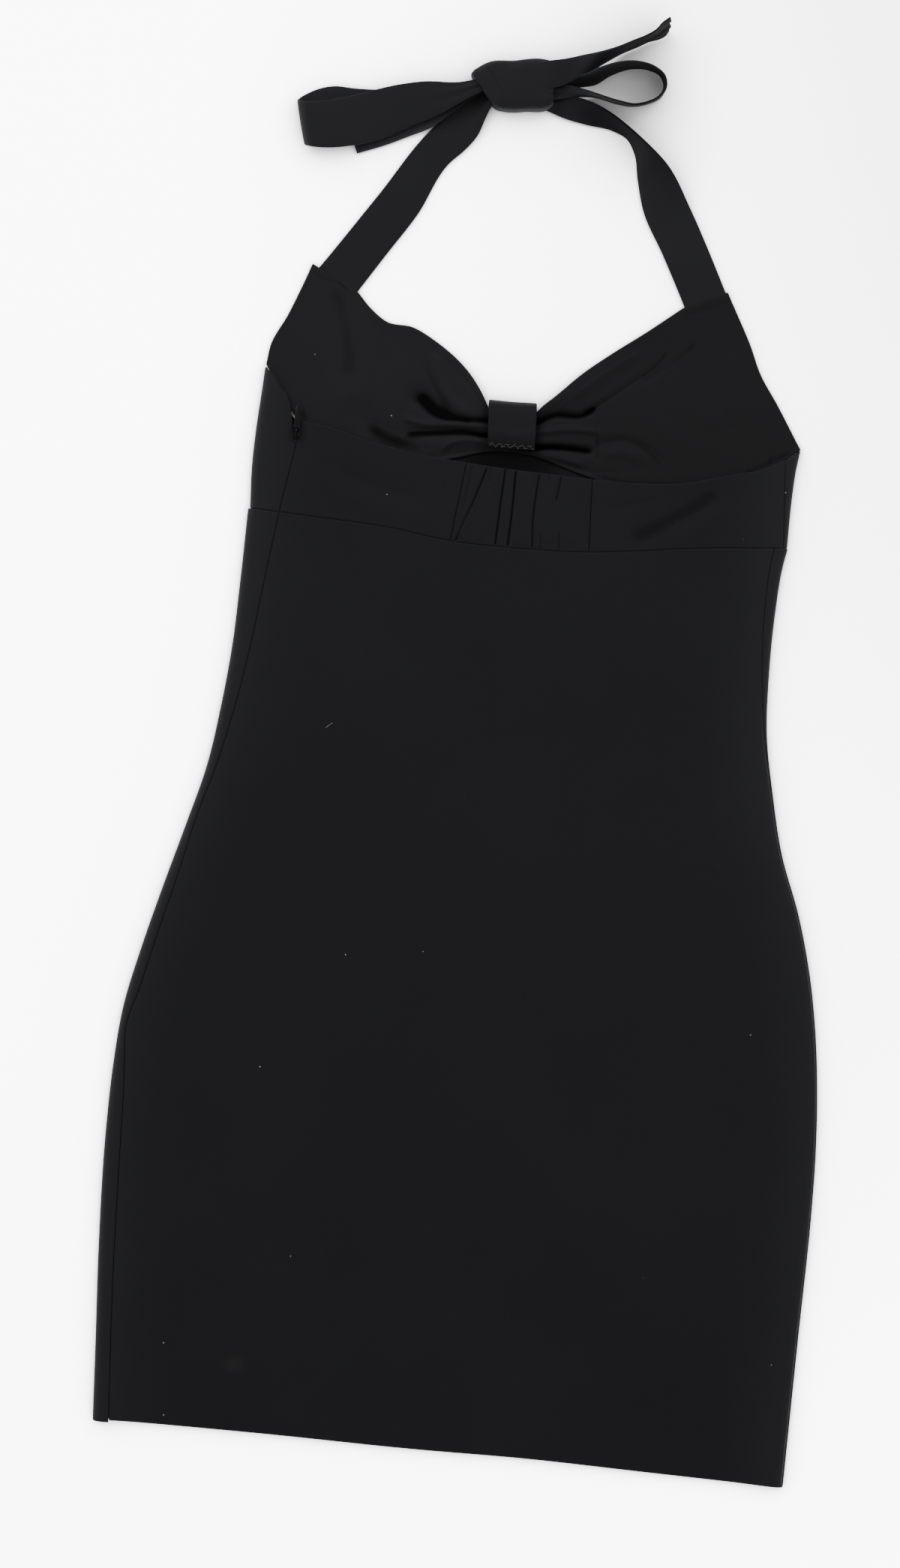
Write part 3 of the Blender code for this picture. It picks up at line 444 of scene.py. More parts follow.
def skin(x, y, sides, over, depth=0.0):
    """Points of the flattened tube at x, a depth under its outer face."""
    left, right = sides[0](y), sides[1](y)
    on_left = x < (left + right) / 2
    side, inward = np.where(on_left, left, right), np.where(on_left, 1.0, -1.0)
    s = np.maximum((x - side) * inward, 0.0)
    z, across, up = roll(s, over)
    return np.stack((side + inward * (s + across * depth), y, z + up * depth), axis=-1)


SKIRT_SIDES = (smooth(SKIRT_LEFT), smooth(SKIRT_RIGHT))
BAND_SIDES = (smooth(BAND_LEFT), smooth(BAND_RIGHT))
HEM_LINE, EMPIRE_LINE = smooth(HEM), smooth(EMPIRE)
LEFT_SEAM, UNDERBUST_LINE, STRIP_LINE = smooth(SEAM_LEFT), smooth(UNDERBUST), smooth(STRIP_TOP)
BAND_TOP_LINE, FRONT_EMPIRE_LINE = smooth(BAND_TOP), smooth(FRONT_EMPIRE)
REACH_LINE, BAND_SEAM_LINE = smooth(SEAM_RIGHT_REACH), smooth(SEAM_RIGHT_BAND)


def right_seam(y, sides):
    """The x of the right side seam on the upper layer."""
    return BAND_SEAM_LINE(y) if sides is BAND_SIDES else sides[1](y) - REACH_LINE(y)


# Meshes and objects.

def place(points):
    """Points of the layout in metres, about the middle of the footprint."""
    return (np.asarray(points, float) - (ORIGIN[0], ORIGIN[1], 0.0)) * MM


def grid_mesh(name, points, uvs, closed=False, shade=None):
    """A mesh made of a grid, shaped by its points as columns by rows, with its painted shade attribute."""
    columns, rows = points.shape[:2]
    mesh = bpy.data.meshes.new(name)
    bm = bmesh.new()
    bm.loops.layers.uv.new("cloth")
    bmesh.ops.create_grid(bm, x_segments=columns - 1, y_segments=rows - 1, size=1)
    bm.to_mesh(mesh)
    flat = np.empty(len(mesh.vertices) * 3)
    mesh.vertices.foreach_get("co", flat)
    i = np.rint((flat[0::3] + 1) / 2 * (columns - 1)).astype(int)
    j = np.rint((flat[1::3] + 1) / 2 * (rows - 1)).astype(int)
    mesh.vertices.foreach_set("co", place(points[i, j]).ravel())
    corner = np.empty(len(mesh.loops), dtype=np.int32)
    mesh.loops.foreach_get("vertex_index", corner)
    mesh.uv_layers["cloth"].data.foreach_set("uv", (uvs[i, j][corner] * MM).ravel())
    if shade is not None:
        spread = np.broadcast_to(shade, points.shape[:2])
        layer = mesh.attributes.new("shade", "FLOAT", "POINT")
        layer.data.foreach_set("value", spread[i, j].astype(np.float32))
    bm.free()
    if closed:
        bm = bmesh.new()
        bm.from_mesh(mesh)
        bmesh.ops.remove_doubles(bm, verts=bm.verts, dist=1e-6)
        bmesh.ops.holes_fill(bm, edges=bm.edges, sides=0)
        bmesh.ops.recalc_face_normals(bm, faces=bm.faces)
        bm.to_mesh(mesh)
        bm.free()
    return mesh


def add_piece(name, mesh, finish, node, body="dress", wall=None):
    """A shown piece that rides on a body and stands for its node."""
    mesh.materials.append(finish)
    mesh.shade_smooth()
    piece = bpy.data.objects.new(name, mesh)
    bpy.context.scene.collection.objects.link(piece)
    if wall:
        solid = piece.modifiers.new("wall", "SOLIDIFY")
        solid.thickness = wall
        solid.offset = -1.0
        solid.use_even_offset = False
    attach(piece, body)
    if node:
        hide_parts(node)
    return piece


def set_tone(mesh, at, width, amount):
    """Marks a soft round patch of paler cloth in the mesh's tone attribute."""
    flat = np.empty(len(mesh.vertices) * 3)
    mesh.vertices.foreach_get("co", flat)
    spot = place((*at, 0.0))
    away = np.hypot(flat[0::3] - spot[0], flat[1::3] - spot[1]) / MM
    tone = mesh.attributes.new("tone", "FLOAT", "POINT")
    tone.data.foreach_set("value", (amount * np.exp(-(away / width) ** 4)).astype(np.float32))


def panel(name, points, node, finish, wall, turned=False, shade=None):
    """A piece of cloth through its outer points, with a wall inwards."""
    if turned:
        points, shade = points[::-1], None if shade is None else shade[::-1]
    mesh = grid_mesh(name, points, points[..., :2], shade=shade)
    return add_piece(name, mesh, finish, node, wall=wall)


# Materials. Painted shade darkens the crepe's colour and gloss, and painted light (negative shade) lifts
# its colour. The floor glows as painted light, dimmed near the dress as a painted shadow and falling along
# x and y.

CREPE_GLOSS = 0.07
SHADE_SHARE = 0.8
SMUDGE_COLOUR, DUST_COLOUR = (0.05, 0.048, 0.046), (0.07, 0.068, 0.066)
WORN_COLOUR, COIL_COLOUR = (0.03, 0.03, 0.032), (0.008, 0.008, 0.009)
STITCH_COLOUR, LINT_COLOUR = (0.09, 0.088, 0.086), (0.3, 0.29, 0.28)
# Painted shadow and glow of the floor: the shadow's power, and how the glow falls along x and y and within
# what range.
SHADOW_POWER, GLOW_TWIST, GLOW_FALL, GLOW_RANGE = 3.2, 1.6, (0.7, 0.25), (0.6, 1.2)


def new_group(name, inputs, outputs):
    """An empty node group with float, colour or vector sockets."""
    group = bpy.data.node_groups.new(name, "ShaderNodeTree")
    for title, kind, default in inputs:
        socket = group.interface.new_socket(name=title, in_out="INPUT", socket_type=kind)
        if default is not None:
            socket.default_value = default
    for title, kind in outputs:
        group.interface.new_socket(name=title, in_out="OUTPUT", socket_type=kind)
    return group, group.nodes.new("NodeGroupInput"), group.nodes.new("NodeGroupOutput")


def add_node(tree, kind, **values):
    """A node with its settings and its sockets' values."""
    node = tree.nodes.new(kind)
    for key, value in values.items():
        if hasattr(node, key):
            setattr(node, key, value)
        else:
            node.inputs[key.replace("_", " ")].default_value = value
    return node


def maths(tree, operation, first, second):
    """The output of a maths node, whose operands are sockets or numbers."""
    node = tree.nodes.new("ShaderNodeMath")
    node.operation = operation
    for socket, value in zip(node.inputs, (first, second)):
        if isinstance(value, bpy.types.NodeSocket):
            tree.links.new(value, socket)
        else:
            socket.default_value = value
    return node.outputs[0]


def make_crepe_grain():
    """The crepe's grain: a pebbled height and a slight mottling, at a pitch in metres."""
    group, start, end = new_group(
        "crepe_grain",
        [("Vector", "NodeSocketVector", None), ("Pitch", "NodeSocketFloat", 0.55 * MM)],
        [("Height", "NodeSocketFloat"), ("Mottle", "NodeSocketFloat")])
    scale = maths(group, "DIVIDE", 1.0, start.outputs["Pitch"])
    pebble = add_node(group, "ShaderNodeTexNoise", Detail=2.0, Roughness=0.6)
    rib = add_node(group, "ShaderNodeTexWave", wave_type="BANDS", bands_direction="Y",
                   Distortion=3.5, Detail=1.0)
    cloud = add_node(group, "ShaderNodeTexNoise", Scale=9.0, Detail=4.0, Roughness=0.55)
    for node in (pebble, rib, cloud):
        group.links.new(start.outputs["Vector"], node.inputs["Vector"])
    group.links.new(scale, pebble.inputs["Scale"])
    group.links.new(maths(group, "MULTIPLY", scale, 0.35), rib.inputs["Scale"])
    height = maths(group, "ADD", maths(group, "MULTIPLY", pebble.outputs[0], 0.8),
                   maths(group, "MULTIPLY", rib.outputs[1], 0.2))
    group.links.new(height, end.inputs["Height"])
    group.links.new(cloud.outputs[0], end.inputs["Mottle"])
    return group


def make_dust():
    """Sparse fine dust: a mask of tiny specks in a few of many cells."""
    group, start, end = new_group(
        "cloth_dust",
        [("Vector", "NodeSocketVector", None), ("Cell", "NodeSocketFloat", 14 * MM)],
        [("Mask", "NodeSocketFloat")])
    cells = add_node(group, "ShaderNodeTexVoronoi", feature="F1", Randomness=1.0)
    group.links.new(start.outputs["Vector"], cells.inputs["Vector"])
    group.links.new(maths(group, "DIVIDE", 1.0, start.outputs["Cell"]), cells.inputs["Scale"])
    near = maths(group, "LESS_THAN", cells.outputs["Distance"], 0.018)
    pick = add_node(group, "ShaderNodeSeparateColor")
    group.links.new(cells.outputs["Color"], pick.inputs[0])
    chosen = maths(group, "GREATER_THAN", pick.outputs[0], 0.9)
    group.links.new(maths(group, "MULTIPLY", near, chosen), end.inputs["Mask"])
    return group


def use_group(tree, group, vector):
    """A node that places a group, fed with coordinates."""
    node = tree.nodes.new("ShaderNodeGroup")
    node.node_tree = group
    tree.links.new(vector, node.inputs["Vector"])
    return node


def shared_group(name, make):
    """A node group by name, made the first time that it is asked for."""
    return bpy.data.node_groups.get(name) or make()


def new_material(name):
    """A material with its tree, its shader and its object coordinates."""
    made = bpy.data.materials.new(name)
    made.use_nodes = True
    tree = made.node_tree
    return made, tree, tree.nodes["Principled BSDF"], tree.nodes.new("ShaderNodeTexCoord")


def add_bump(tree, shader, height, distance, strength=1.0):
    """A bump from a height to the shader's normal."""
    bump = add_node(tree, "ShaderNodeBump", Strength=strength, Distance=distance)
    tree.links.new(height, bump.inputs["Height"])
    tree.links.new(bump.outputs[0], shader.inputs["Normal"])


def crepe(name="crepe_outside", inner=False, along=False):
    """Black stretch crepe, on object coordinates or along a tie's own map."""
    found = bpy.data.materials.get(name)
    if found:
        return found
    cloth = bpy.context.scene.dress_cloth
    made, tree, shader, coordinates = new_material(name)
    vector = coordinates.outputs["UV" if along else "Object"]
    grain = use_group(tree, shared_group("crepe_grain", make_crepe_grain), vector)
    grain.inputs["Pitch"].default_value = cloth.grain
    dust = use_group(tree, shared_group("cloth_dust", make_dust), coordinates.outputs["Object"])
    tone = add_node(tree, "ShaderNodeAttribute", attribute_name="tone")
    colour = tuple(cloth.inner_colour if inner else cloth.colour)
    base = add_node(tree, "ShaderNodeMix", data_type="RGBA")
    base.inputs[6].default_value = (*[c * 0.85 for c in colour], 1)
    base.inputs[7].default_value = (*[c * 1.15 for c in colour], 1)
    tree.links.new(grain.outputs["Mottle"], base.inputs[0])
    # Painted shade from the shade attribute: it darkens the colour and takes away the gloss, and lightens
    # the colour where it is negative.
    painted_shade = add_node(tree, "ShaderNodeAttribute", attribute_name="shade")
    lit = maths(tree, "SUBTRACT", 1.0, maths(tree, "MULTIPLY", painted_shade.outputs["Fac"], SHADE_SHARE))
    shaded = add_node(tree, "ShaderNodeVectorMath", operation="SCALE")
    tree.links.new(base.outputs[2], shaded.inputs[0])
    tree.links.new(lit, shaded.inputs["Scale"])
    pale = add_node(tree, "ShaderNodeMix", data_type="RGBA")
    tree.links.new(tone.outputs["Fac"], pale.inputs[0])
    tree.links.new(shaded.outputs[0], pale.inputs[6])
    pale.inputs[7].default_value = (*SMUDGE_COLOUR, 1)
    dusty = add_node(tree, "ShaderNodeMix", data_type="RGBA")
    tree.links.new(dust.outputs["Mask"], dusty.inputs[0])
    tree.links.new(pale.outputs[2], dusty.inputs[6])
    dusty.inputs[7].default_value = (*DUST_COLOUR, 1)
    tree.links.new(dusty.outputs[2], shader.inputs["Base Color"])
    rough = maths(tree, "ADD", maths(tree, "MULTIPLY", grain.outputs["Mottle"], 0.12), 0.76)
    tree.links.new(rough, shader.inputs["Roughness"])
    clamped_shade = add_node(tree, "ShaderNodeClamp")
    tree.links.new(painted_shade.outputs["Fac"], clamped_shade.inputs["Value"])
    unshaded_share = maths(tree, "SUBTRACT", 1.0, clamped_shade.outputs[0])
    gloss = maths(tree, "MULTIPLY", unshaded_share, CREPE_GLOSS)
    tree.links.new(gloss, shader.inputs["Specular IOR Level"])
    shader.inputs["Sheen Weight"].default_value = cloth.sheen
    shader.inputs["Sheen Roughness"].default_value = 0.45
    shader.inputs["Sheen Tint"].default_value = (0.8, 0.85, 1.0, 1)
    add_bump(tree, shader, grain.outputs["Height"], 0.12 * MM, 0.7)
    return made


def tape_weave():
    """The zip's woven tape: fine ribs across it."""
    made, tree, shader, coordinates = new_material("zip_tape_weave")
    rib = add_node(tree, "ShaderNodeTexWave", wave_type="BANDS", bands_direction="Y", Scale=420.0)
    tree.links.new(coordinates.outputs["Object"], rib.inputs["Vector"])
    shader.inputs["Base Color"].default_value = (*bpy.context.scene.dress_zip.tape, 1)
    shader.inputs["Roughness"].default_value = 0.8
    add_bump(tree, shader, rib.outputs[1], 0.1 * MM)
    return made


def lacquer():
    """Black lacquered metal, worn to grey in small spots."""
    made, tree, shader, coordinates = new_material("black_lacquer")
    worn = add_node(tree, "ShaderNodeTexNoise", Scale=900.0, Detail=3.0)
    tree.links.new(coordinates.outputs["Object"], worn.inputs["Vector"])
    spots = maths(tree, "GREATER_THAN", worn.outputs[0], 0.73)
    base = add_node(tree, "ShaderNodeMix", data_type="RGBA")
    tree.links.new(spots, base.inputs[0])
    base.inputs[6].default_value = (*bpy.context.scene.dress_zip.metal, 1)
    base.inputs[7].default_value = (*WORN_COLOUR, 1)
    tree.links.new(base.outputs[2], shader.inputs["Base Color"])
    rough = maths(tree, "ADD", maths(tree, "MULTIPLY", worn.outputs[0], 0.2), 0.16)
    tree.links.new(rough, shader.inputs["Roughness"])
    shader.inputs["Specular IOR Level"].default_value = 0.08
    add_bump(tree, shader, worn.outputs[0], 0.05 * MM)
    return made


def thread(name, colour, roughness=0.9):
    """Lint or sewing thread, slightly uneven in colour."""
    made, tree, shader, coordinates = new_material(name)
    twist = add_node(tree, "ShaderNodeTexNoise", Scale=2500.0, Detail=1.0)
    tree.links.new(coordinates.outputs["Object"], twist.inputs["Vector"])
    base = add_node(tree, "ShaderNodeMix", data_type="RGBA")
    tree.links.new(twist.outputs[0], base.inputs[0])
    base.inputs[6].default_value = (*[c * 0.6 for c in colour], 1)
    base.inputs[7].default_value = (*colour, 1)
    tree.links.new(base.outputs[2], shader.inputs["Base Color"])
    shader.inputs["Roughness"].default_value = roughness
    return made


def floor_with_painted_glow():
    """The plain pale floor, glowing as painted light; its glow fades near the dress as a painted shadow
    and towards the upper right as a painted falloff.
    """
    made, tree, shader, coordinates = new_material("floor_white")
    studio = bpy.context.scene.dress_studio
    shade = add_node(tree, "ShaderNodeTexNoise", Scale=1.2, Detail=1.0)
    tree.links.new(coordinates.outputs["Object"], shade.inputs["Vector"])
    base = add_node(tree, "ShaderNodeMix", data_type="RGBA")
    tree.links.new(shade.outputs[0], base.inputs[0])
    floor = studio.floor
    base.inputs[6].default_value = (*[c * 0.985 for c in floor], 1)
    base.inputs[7].default_value = (*floor, 1)
    tree.links.new(base.outputs[2], shader.inputs["Base Color"])
    shader.inputs["Roughness"].default_value = 0.9
    painted_shadow_occlusion = add_node(tree, "ShaderNodeAmbientOcclusion", Distance=studio.shadow)
    glow = maths(tree, "POWER", painted_shadow_occlusion.outputs["AO"], SHADOW_POWER)
    spot = tree.nodes.new("ShaderNodeSeparateXYZ")
    tree.links.new(coordinates.outputs["Object"], spot.inputs[0])
    corner = maths(tree, "MULTIPLY", maths(tree, "MULTIPLY", spot.outputs[0], spot.outputs[1]), GLOW_TWIST)
    slope = maths(tree, "ADD", maths(tree, "MULTIPLY", spot.outputs[0], GLOW_FALL[0]),
                  maths(tree, "MULTIPLY", spot.outputs[1], GLOW_FALL[1]))
    glow_falloff = maths(tree, "SUBTRACT", 1.0, maths(tree, "ADD", slope, corner))
    glow_falloff = maths(tree, "MINIMUM", maths(tree, "MAXIMUM", glow_falloff, GLOW_RANGE[0]), GLOW_RANGE[1])
    glow = maths(tree, "MULTIPLY", glow, glow_falloff)
    tree.links.new(maths(tree, "MULTIPLY", glow, studio.glow), shader.inputs["Emission Strength"])
    shader.inputs["Emission Color"].default_value = (1, 1, 1, 1)
    return made


# Panels of the skirt and the band.

def front_columns(middle, strip):
    """Columns of a front: up both strips, round both sides and across the lower layer."""
    seam = [1 - spot / STRIP_WIDTH for spot in EDGE_SPOTS[:-1]]
    strips = seam + [k / strip for k in range(strip - 1, 0, -1) if k / strip < seam[-1]]
    bend = [1 - cos(k / ROLL_COLUMNS * pi / 2) for k in range(ROLL_COLUMNS + 1)]
    columns = [(share, "left") for share in strips]
    columns += [(share, "left_roll") for share in bend]
    columns += [(k / middle, "under") for k in range(1, middle)]
    columns += [(share, "right_roll") for share in reversed(bend)]
    return columns + [(share, "right") for share in reversed(strips)]


def wrap(column, y, sides, depth):
    """Points of a front at heights y, on a column of front_columns."""
    share, part = column
    left, right = sides[0](y), sides[1](y)
    if part == "left":
        reach = LEFT_SEAM(y) - SEAM / 2 - left
        return skin(left + reach * (1 - cos(share * pi / 2)), y, sides, True, depth)
    if part == "right":
        reach = right - right_seam(y, sides) - FINE_SEAM
        return skin(right - reach * (1 - cos(share * pi / 2)), y, sides, True, depth)
    if part == "left_roll":
        return skin(left + share * ROLL_UNDER, y, sides, False, depth)
    if part == "right_roll":
        return skin(right - share * ROLL_UNDER, y, sides, False, depth)
    return skin(mix(left + ROLL_UNDER, right - ROLL_UNDER, share), y, sides, False, depth)


def seam_gap(column, x, y, sides):
    """The distance of a strip's points from their side seam, and a large one elsewhere."""
    if column[1] == "left":
        return LEFT_SEAM(y) - SEAM / 2 - x
    if column[1] == "right":
        return x - right_seam(y, sides) - FINE_SEAM
    return np.full(np.shape(x), 99.0)


def front_points(low, high, sides, columns, rows, folds=()):
    """The outer points of a front, wrapped round both sides, between a low and a high edge."""
    lines = []
    for column in columns:
        y = mix(low(0.0, column), high(0.0, column), rows)
        for _ in range(3):
            x = wrap(column, y, sides, 0.0)[..., 0]
            y = mix(low(x, column), high(x, column), rows)
        edge = np.minimum(np.minimum(y - low(x, column), high(x, column) - y),
                          seam_gap(column, x, y, sides))
        depth = sink(edge)
        if column[1] == "under" and folds:
            depth = depth - relief(folds, x, y)
        lines.append(wrap(column, y, sides, depth))
    return np.array(lines)


def back_points(low, high, ends, sides, columns, rows, shape):
    """The outer points of a back, from ends[0] to ends[1] at each height."""
    u, v = columns[:, None], rows[None, :]
    y = mix(low(0.0), high(0.0), v) + 0 * u
    for _ in range(3):
        x = mix(ends[0](y), ends[1](y), u)
        y = mix(low(x), high(x), v)
    edges = [x - ends[0](y), ends[1](y) - x, y - low(x), high(x) - y]
    points = skin(x, y, sides, True, sink(np.minimum.reduce(edges)))
    points[..., 2] += shape(x, y, v)
    return points


def front_empire(x, column):
    """The y of the front's empire seam, straight across the lower layer."""
    return EMPIRE_LINE(x) if column[1] in ("left", "right") else FRONT_EMPIRE_LINE(x)


def front_hem(x, column):
    """The y of the front's hem, which shows just below the back's at the left."""
    return HEM_LINE(x) - (FRONT_HEM_DROP if column[1] == "left" else 0.0)


def front_high(x, column):
    """The y of the front band's top: up to the armholes and along under the cups."""
    share, part = column
    if part == "left":
        return STRIP_LINE(x)
    if part == "right":
        return mix(RIGHT_STRIP_TOP[0], RIGHT_STRIP_TOP[1], share) + 0 * x
    return UNDERBUST_LINE(x)


def lift(x, v):
    """How far the back band stands off the cup at its top edge."""
    return BAND_LIFT * np.exp(-((x - LIFT_AT) / LIFT_WIDTH) ** 2) * v * v


def side_shade(x, y, sides):
    """The painted shade of a panel: a little in the middle, and painted light towards the tube's rounded
    sides, which catch more light.
    """
    inward = np.maximum(np.minimum(x - sides[0](y), sides[1](y) - x), 0.0)
    return SIDE_BASE - SIDE_PALER * np.exp(-(inward / SIDE_REACH) ** 2)


class DRESS_OT_skirt(bpy.types.Operator):
    """Build the skirt's front, wrapped round both sides, and its back on top"""
    bl_idname = "dress.skirt"
    bl_label = "Skirt"

    def execute(self, context):
        wall, rows = context.scene.dress_cloth.wall, graded(*SKIRT_ROWS)
        points = front_points(front_hem, front_empire, SKIRT_SIDES, front_columns(*SKIRT_FRONT), rows,
                              UNDER_FOLDS)
        shade = side_shade(points[..., 0], points[..., 1], SKIRT_SIDES)
        front = panel("skirt_front", points, "front_skirt", crepe(), wall, turned=True, shade=shade)
        ends = (lambda y: LEFT_SEAM(y) + SEAM / 2, lambda y: right_seam(y, SKIRT_SIDES) - FINE_SEAM)
        points = back_points(HEM_LINE, EMPIRE_LINE, ends, SKIRT_SIDES, graded(*SKIRT_COLUMNS), rows,
                             lambda x, y, v: relief(SKIRT_FOLDS, x, y))
        shade = side_shade(points[..., 0], points[..., 1], SKIRT_SIDES)
        back = panel("skirt_back", points, "back_skirt", crepe(), wall, shade=shade)
        set_tone(back.data, SMUDGE_AT, SMUDGE_WIDTH, SMUDGE_TONE)
        return {"FINISHED"}


class DRESS_OT_band(bpy.types.Operator):
    """Build the band under the bust: its front wrapped round, its back in three"""
    bl_idname = "dress.band"
    bl_label = "Band"

    def execute(self, context):
        wall = context.scene.dress_cloth.wall
        points = front_points(lambda x, column: front_empire(x, column) + FINE_SEAM, front_high,
                              BAND_SIDES, front_columns(*BAND_FRONT), graded(*BAND_FRONT_ROWS))
        x, y = points[..., 0], points[..., 1]
        # Painted shade under the tab, where the front band lies deep between the layers.
        arch = np.exp(-((x - ARCH_AT[0]) / ARCH_SIZE[0]) ** 4 - ((y - ARCH_AT[1]) / ARCH_SIZE[1]) ** 4)
        arch = arch * (points[..., 2] < SIDE_Z)
        shade = side_shade(x, y, BAND_SIDES) + ARCH_SHADE * arch
        front = panel("band_front", points, "front_band", crepe(), wall, turned=True, shade=shade)
        left, right = smooth(GATHER_LEFT), smooth(GATHER_RIGHT)

        def low(x):
            return EMPIRE_LINE(x) + FINE_SEAM

        def gathers(x, y):
            return relief(GATHER_FOLDS, x, y, GATHER_FADE)

        def creases(x, y):
            return relief(BAND_FOLDS, x, y)

        pieces = (
            ("band_back_left", "back_band_left", (0.115, 0.07), 0.0058, 2.2, "laid", creases,
             lambda y: LEFT_SEAM(y) + SEAM / 2, lambda y: left(y) - SEAM / 2),
            ("band_back_centre", "back_band_centre", (0.115, 0.052), None, 0.55, "gathered", gathers,
             lambda y: left(y) + SEAM / 2, lambda y: right(y) - SEAM / 2),
            ("band_back_right", "back_band_right", (0.13, 0.065), 0.0062, 2.2, "laid", creases,
             lambda y: right(y) + SEAM / 2, lambda y: right_seam(y, BAND_SIDES) - FINE_SEAM))
        for name, node, flat, area, pitch, held, folds, start, end in pieces:
            points = back_points(low, BAND_TOP_LINE, (start, end), BAND_SIDES, graded(BAND_PART, pitch),
                                 graded(*BAND_ROWS), lambda x, y, v: lift(x, v) + folds(x, y))
            x, y = points[..., 0], points[..., 1]
            # Painted shade in the deep creases and along the panel's middle, and painted light along its
            # sides.
            shade = np.clip((-folds(x, y) - 0.3) / 0.75, 0, 1) + side_shade(x, y, BAND_SIDES)
            piece = panel(name, points, node, crepe(), wall, shade=shade)
        return {"FINISHED"}


# Cups and tab.

def cup_plan(armhole, neck, inward, u, v):
    """The plan of a cup: u from the armhole to the centre, v from the band to the neck."""
    side, neckline = rail(armhole), rail(neck)
    corner, start = side(1.0), neckline(0.0)
    foot = np.array((CENTRE_X - inward * SEAM / 2, UNDERBUST_LINE(CENTRE_X) - UNDERBUST_LAP))
    head = np.array((foot[0], CENTRE_HIGH))
    strap = corner + (start - corner) * np.minimum(u / CUP_CORNER, 1.0)[:, None]
    along = neckline(np.maximum(u - CUP_CORNER, 0.0) / (1 - CUP_CORNER))
    along[:, 0] = np.minimum(along[:, 0], head[0]) if inward > 0 else np.maximum(along[:, 0], head[0])
    top = np.where((u < CUP_CORNER)[:, None], strap, along)
    x = mix(armhole[0][0], foot[0], u)
    bottom = np.stack((x, UNDERBUST_LINE(x) - UNDERBUST_LAP), axis=-1)
    across, up = u[:, None, None], v[None, :, None]
    upwards = mix(bottom[:, None], top[:, None], up)
    sideways = mix(side(v)[None], mix(foot, head, v[:, None])[None], across)
    return upwards + sideways - mix(mix(bottom[0], bottom[-1], across), mix(top[0], top[-1], across), up)


def edge_distance(plan):
    """The distances of a plan's points from their nearest edge and from the neck."""
    rows = np.cumsum(np.linalg.norm(np.diff(plan, axis=1, prepend=plan[:, :1]), axis=2), axis=1)
    columns = np.cumsum(np.linalg.norm(np.diff(plan, axis=0, prepend=plan[:1]), axis=2), axis=0)
    gaps = (rows, rows[:, -1:] - rows, columns, columns[-1:] - columns)
    return np.minimum.reduce(gaps), rows[:, -1:] - rows


def cup_height(u, v):
    """The height of a cup's smooth upper face, swelling over the bust."""
    gather = ease((u - 0.5) / 0.42)
    bed = mix(mix(TAB_BED, CUP_BED, ease(v / 0.07)), TAB_BED, ease((u - 0.78) / 0.1))
    swell = CUP_SWELL * np.sin(pi * np.minimum(u / 0.8, 1.0)) ** 2 * np.sin(pi * v) ** 2
    return mix(bed, mix(CUP_BED, FOLD_LIFT, gather), ease(v / 0.2)) + swell


class DRESS_OT_cups(bpy.types.Operator):
    """Build the two cups, with the folds that run into the centre tab"""
    bl_idname = "dress.cups"
    bl_label = "Cups"

    def execute(self, context):
        cloth = context.scene.dress_cloth
        u = np.unique(np.append(graded(*CUP_COLUMNS), CUP_CORNER))
        v = graded(*CUP_ROWS)
        cups = (("cup_left_gathered", "cup_left", LEFT_ARMHOLE, LEFT_NECK, 1, LEFT_CUP_FOLDS,
                 (0.19, 0.15), 0.0145, -0.07),
                ("cup_right_gathered", "cup_right", RIGHT_ARMHOLE, RIGHT_NECK, -1, RIGHT_CUP_FOLDS,
                 (0.21, 0.15), 0.0155, 0.1))
        for name, node, armhole, neck, inward, folds, flat, area, tone in cups:
            plan = cup_plan(armhole, neck, inward, u, v)
            x, y = plan[..., 0], plan[..., 1]
            edge, below_neck = edge_distance(plan)
            z = cup_height(u[:, None], v[None, :]) + relief(folds, x, y)
            hem = HEM_DIP * np.exp(-((below_neck - HEM_TURN) / 1.6) ** 2) * (v[None, :] > 0.4)
            near_strap = ease((CUP_CORNER + 0.02 - u[:, None]) / 0.04)
            collar = COLLAR_RISE * np.exp(-(below_neck / COLLAR_REACH) ** 2) * near_strap
            z = np.maximum(z - hem + collar, cloth.cup_wall / MM + EDGE_SINK) - sink(edge)
            points = np.dstack((x, y, z))
            # Painted shade in the deep creases and beside the tab, plus an even amount for each cup.
            beside = np.maximum(np.maximum(TAB_HIGH[0] - x, x - TAB_HIGH[1]), 0) / 5
            shade = np.clip((-relief(folds, x, y) - 0.75) / 1.8, 0, 1)
            shade = shade + TAB_SHADE * np.exp(-beside ** 2) + tone
            piece = panel(name, points, node, crepe("crepe_inside", inner=True), cloth.cup_wall,
                          turned=inward < 0, shade=shade)
        return {"FINISHED"}


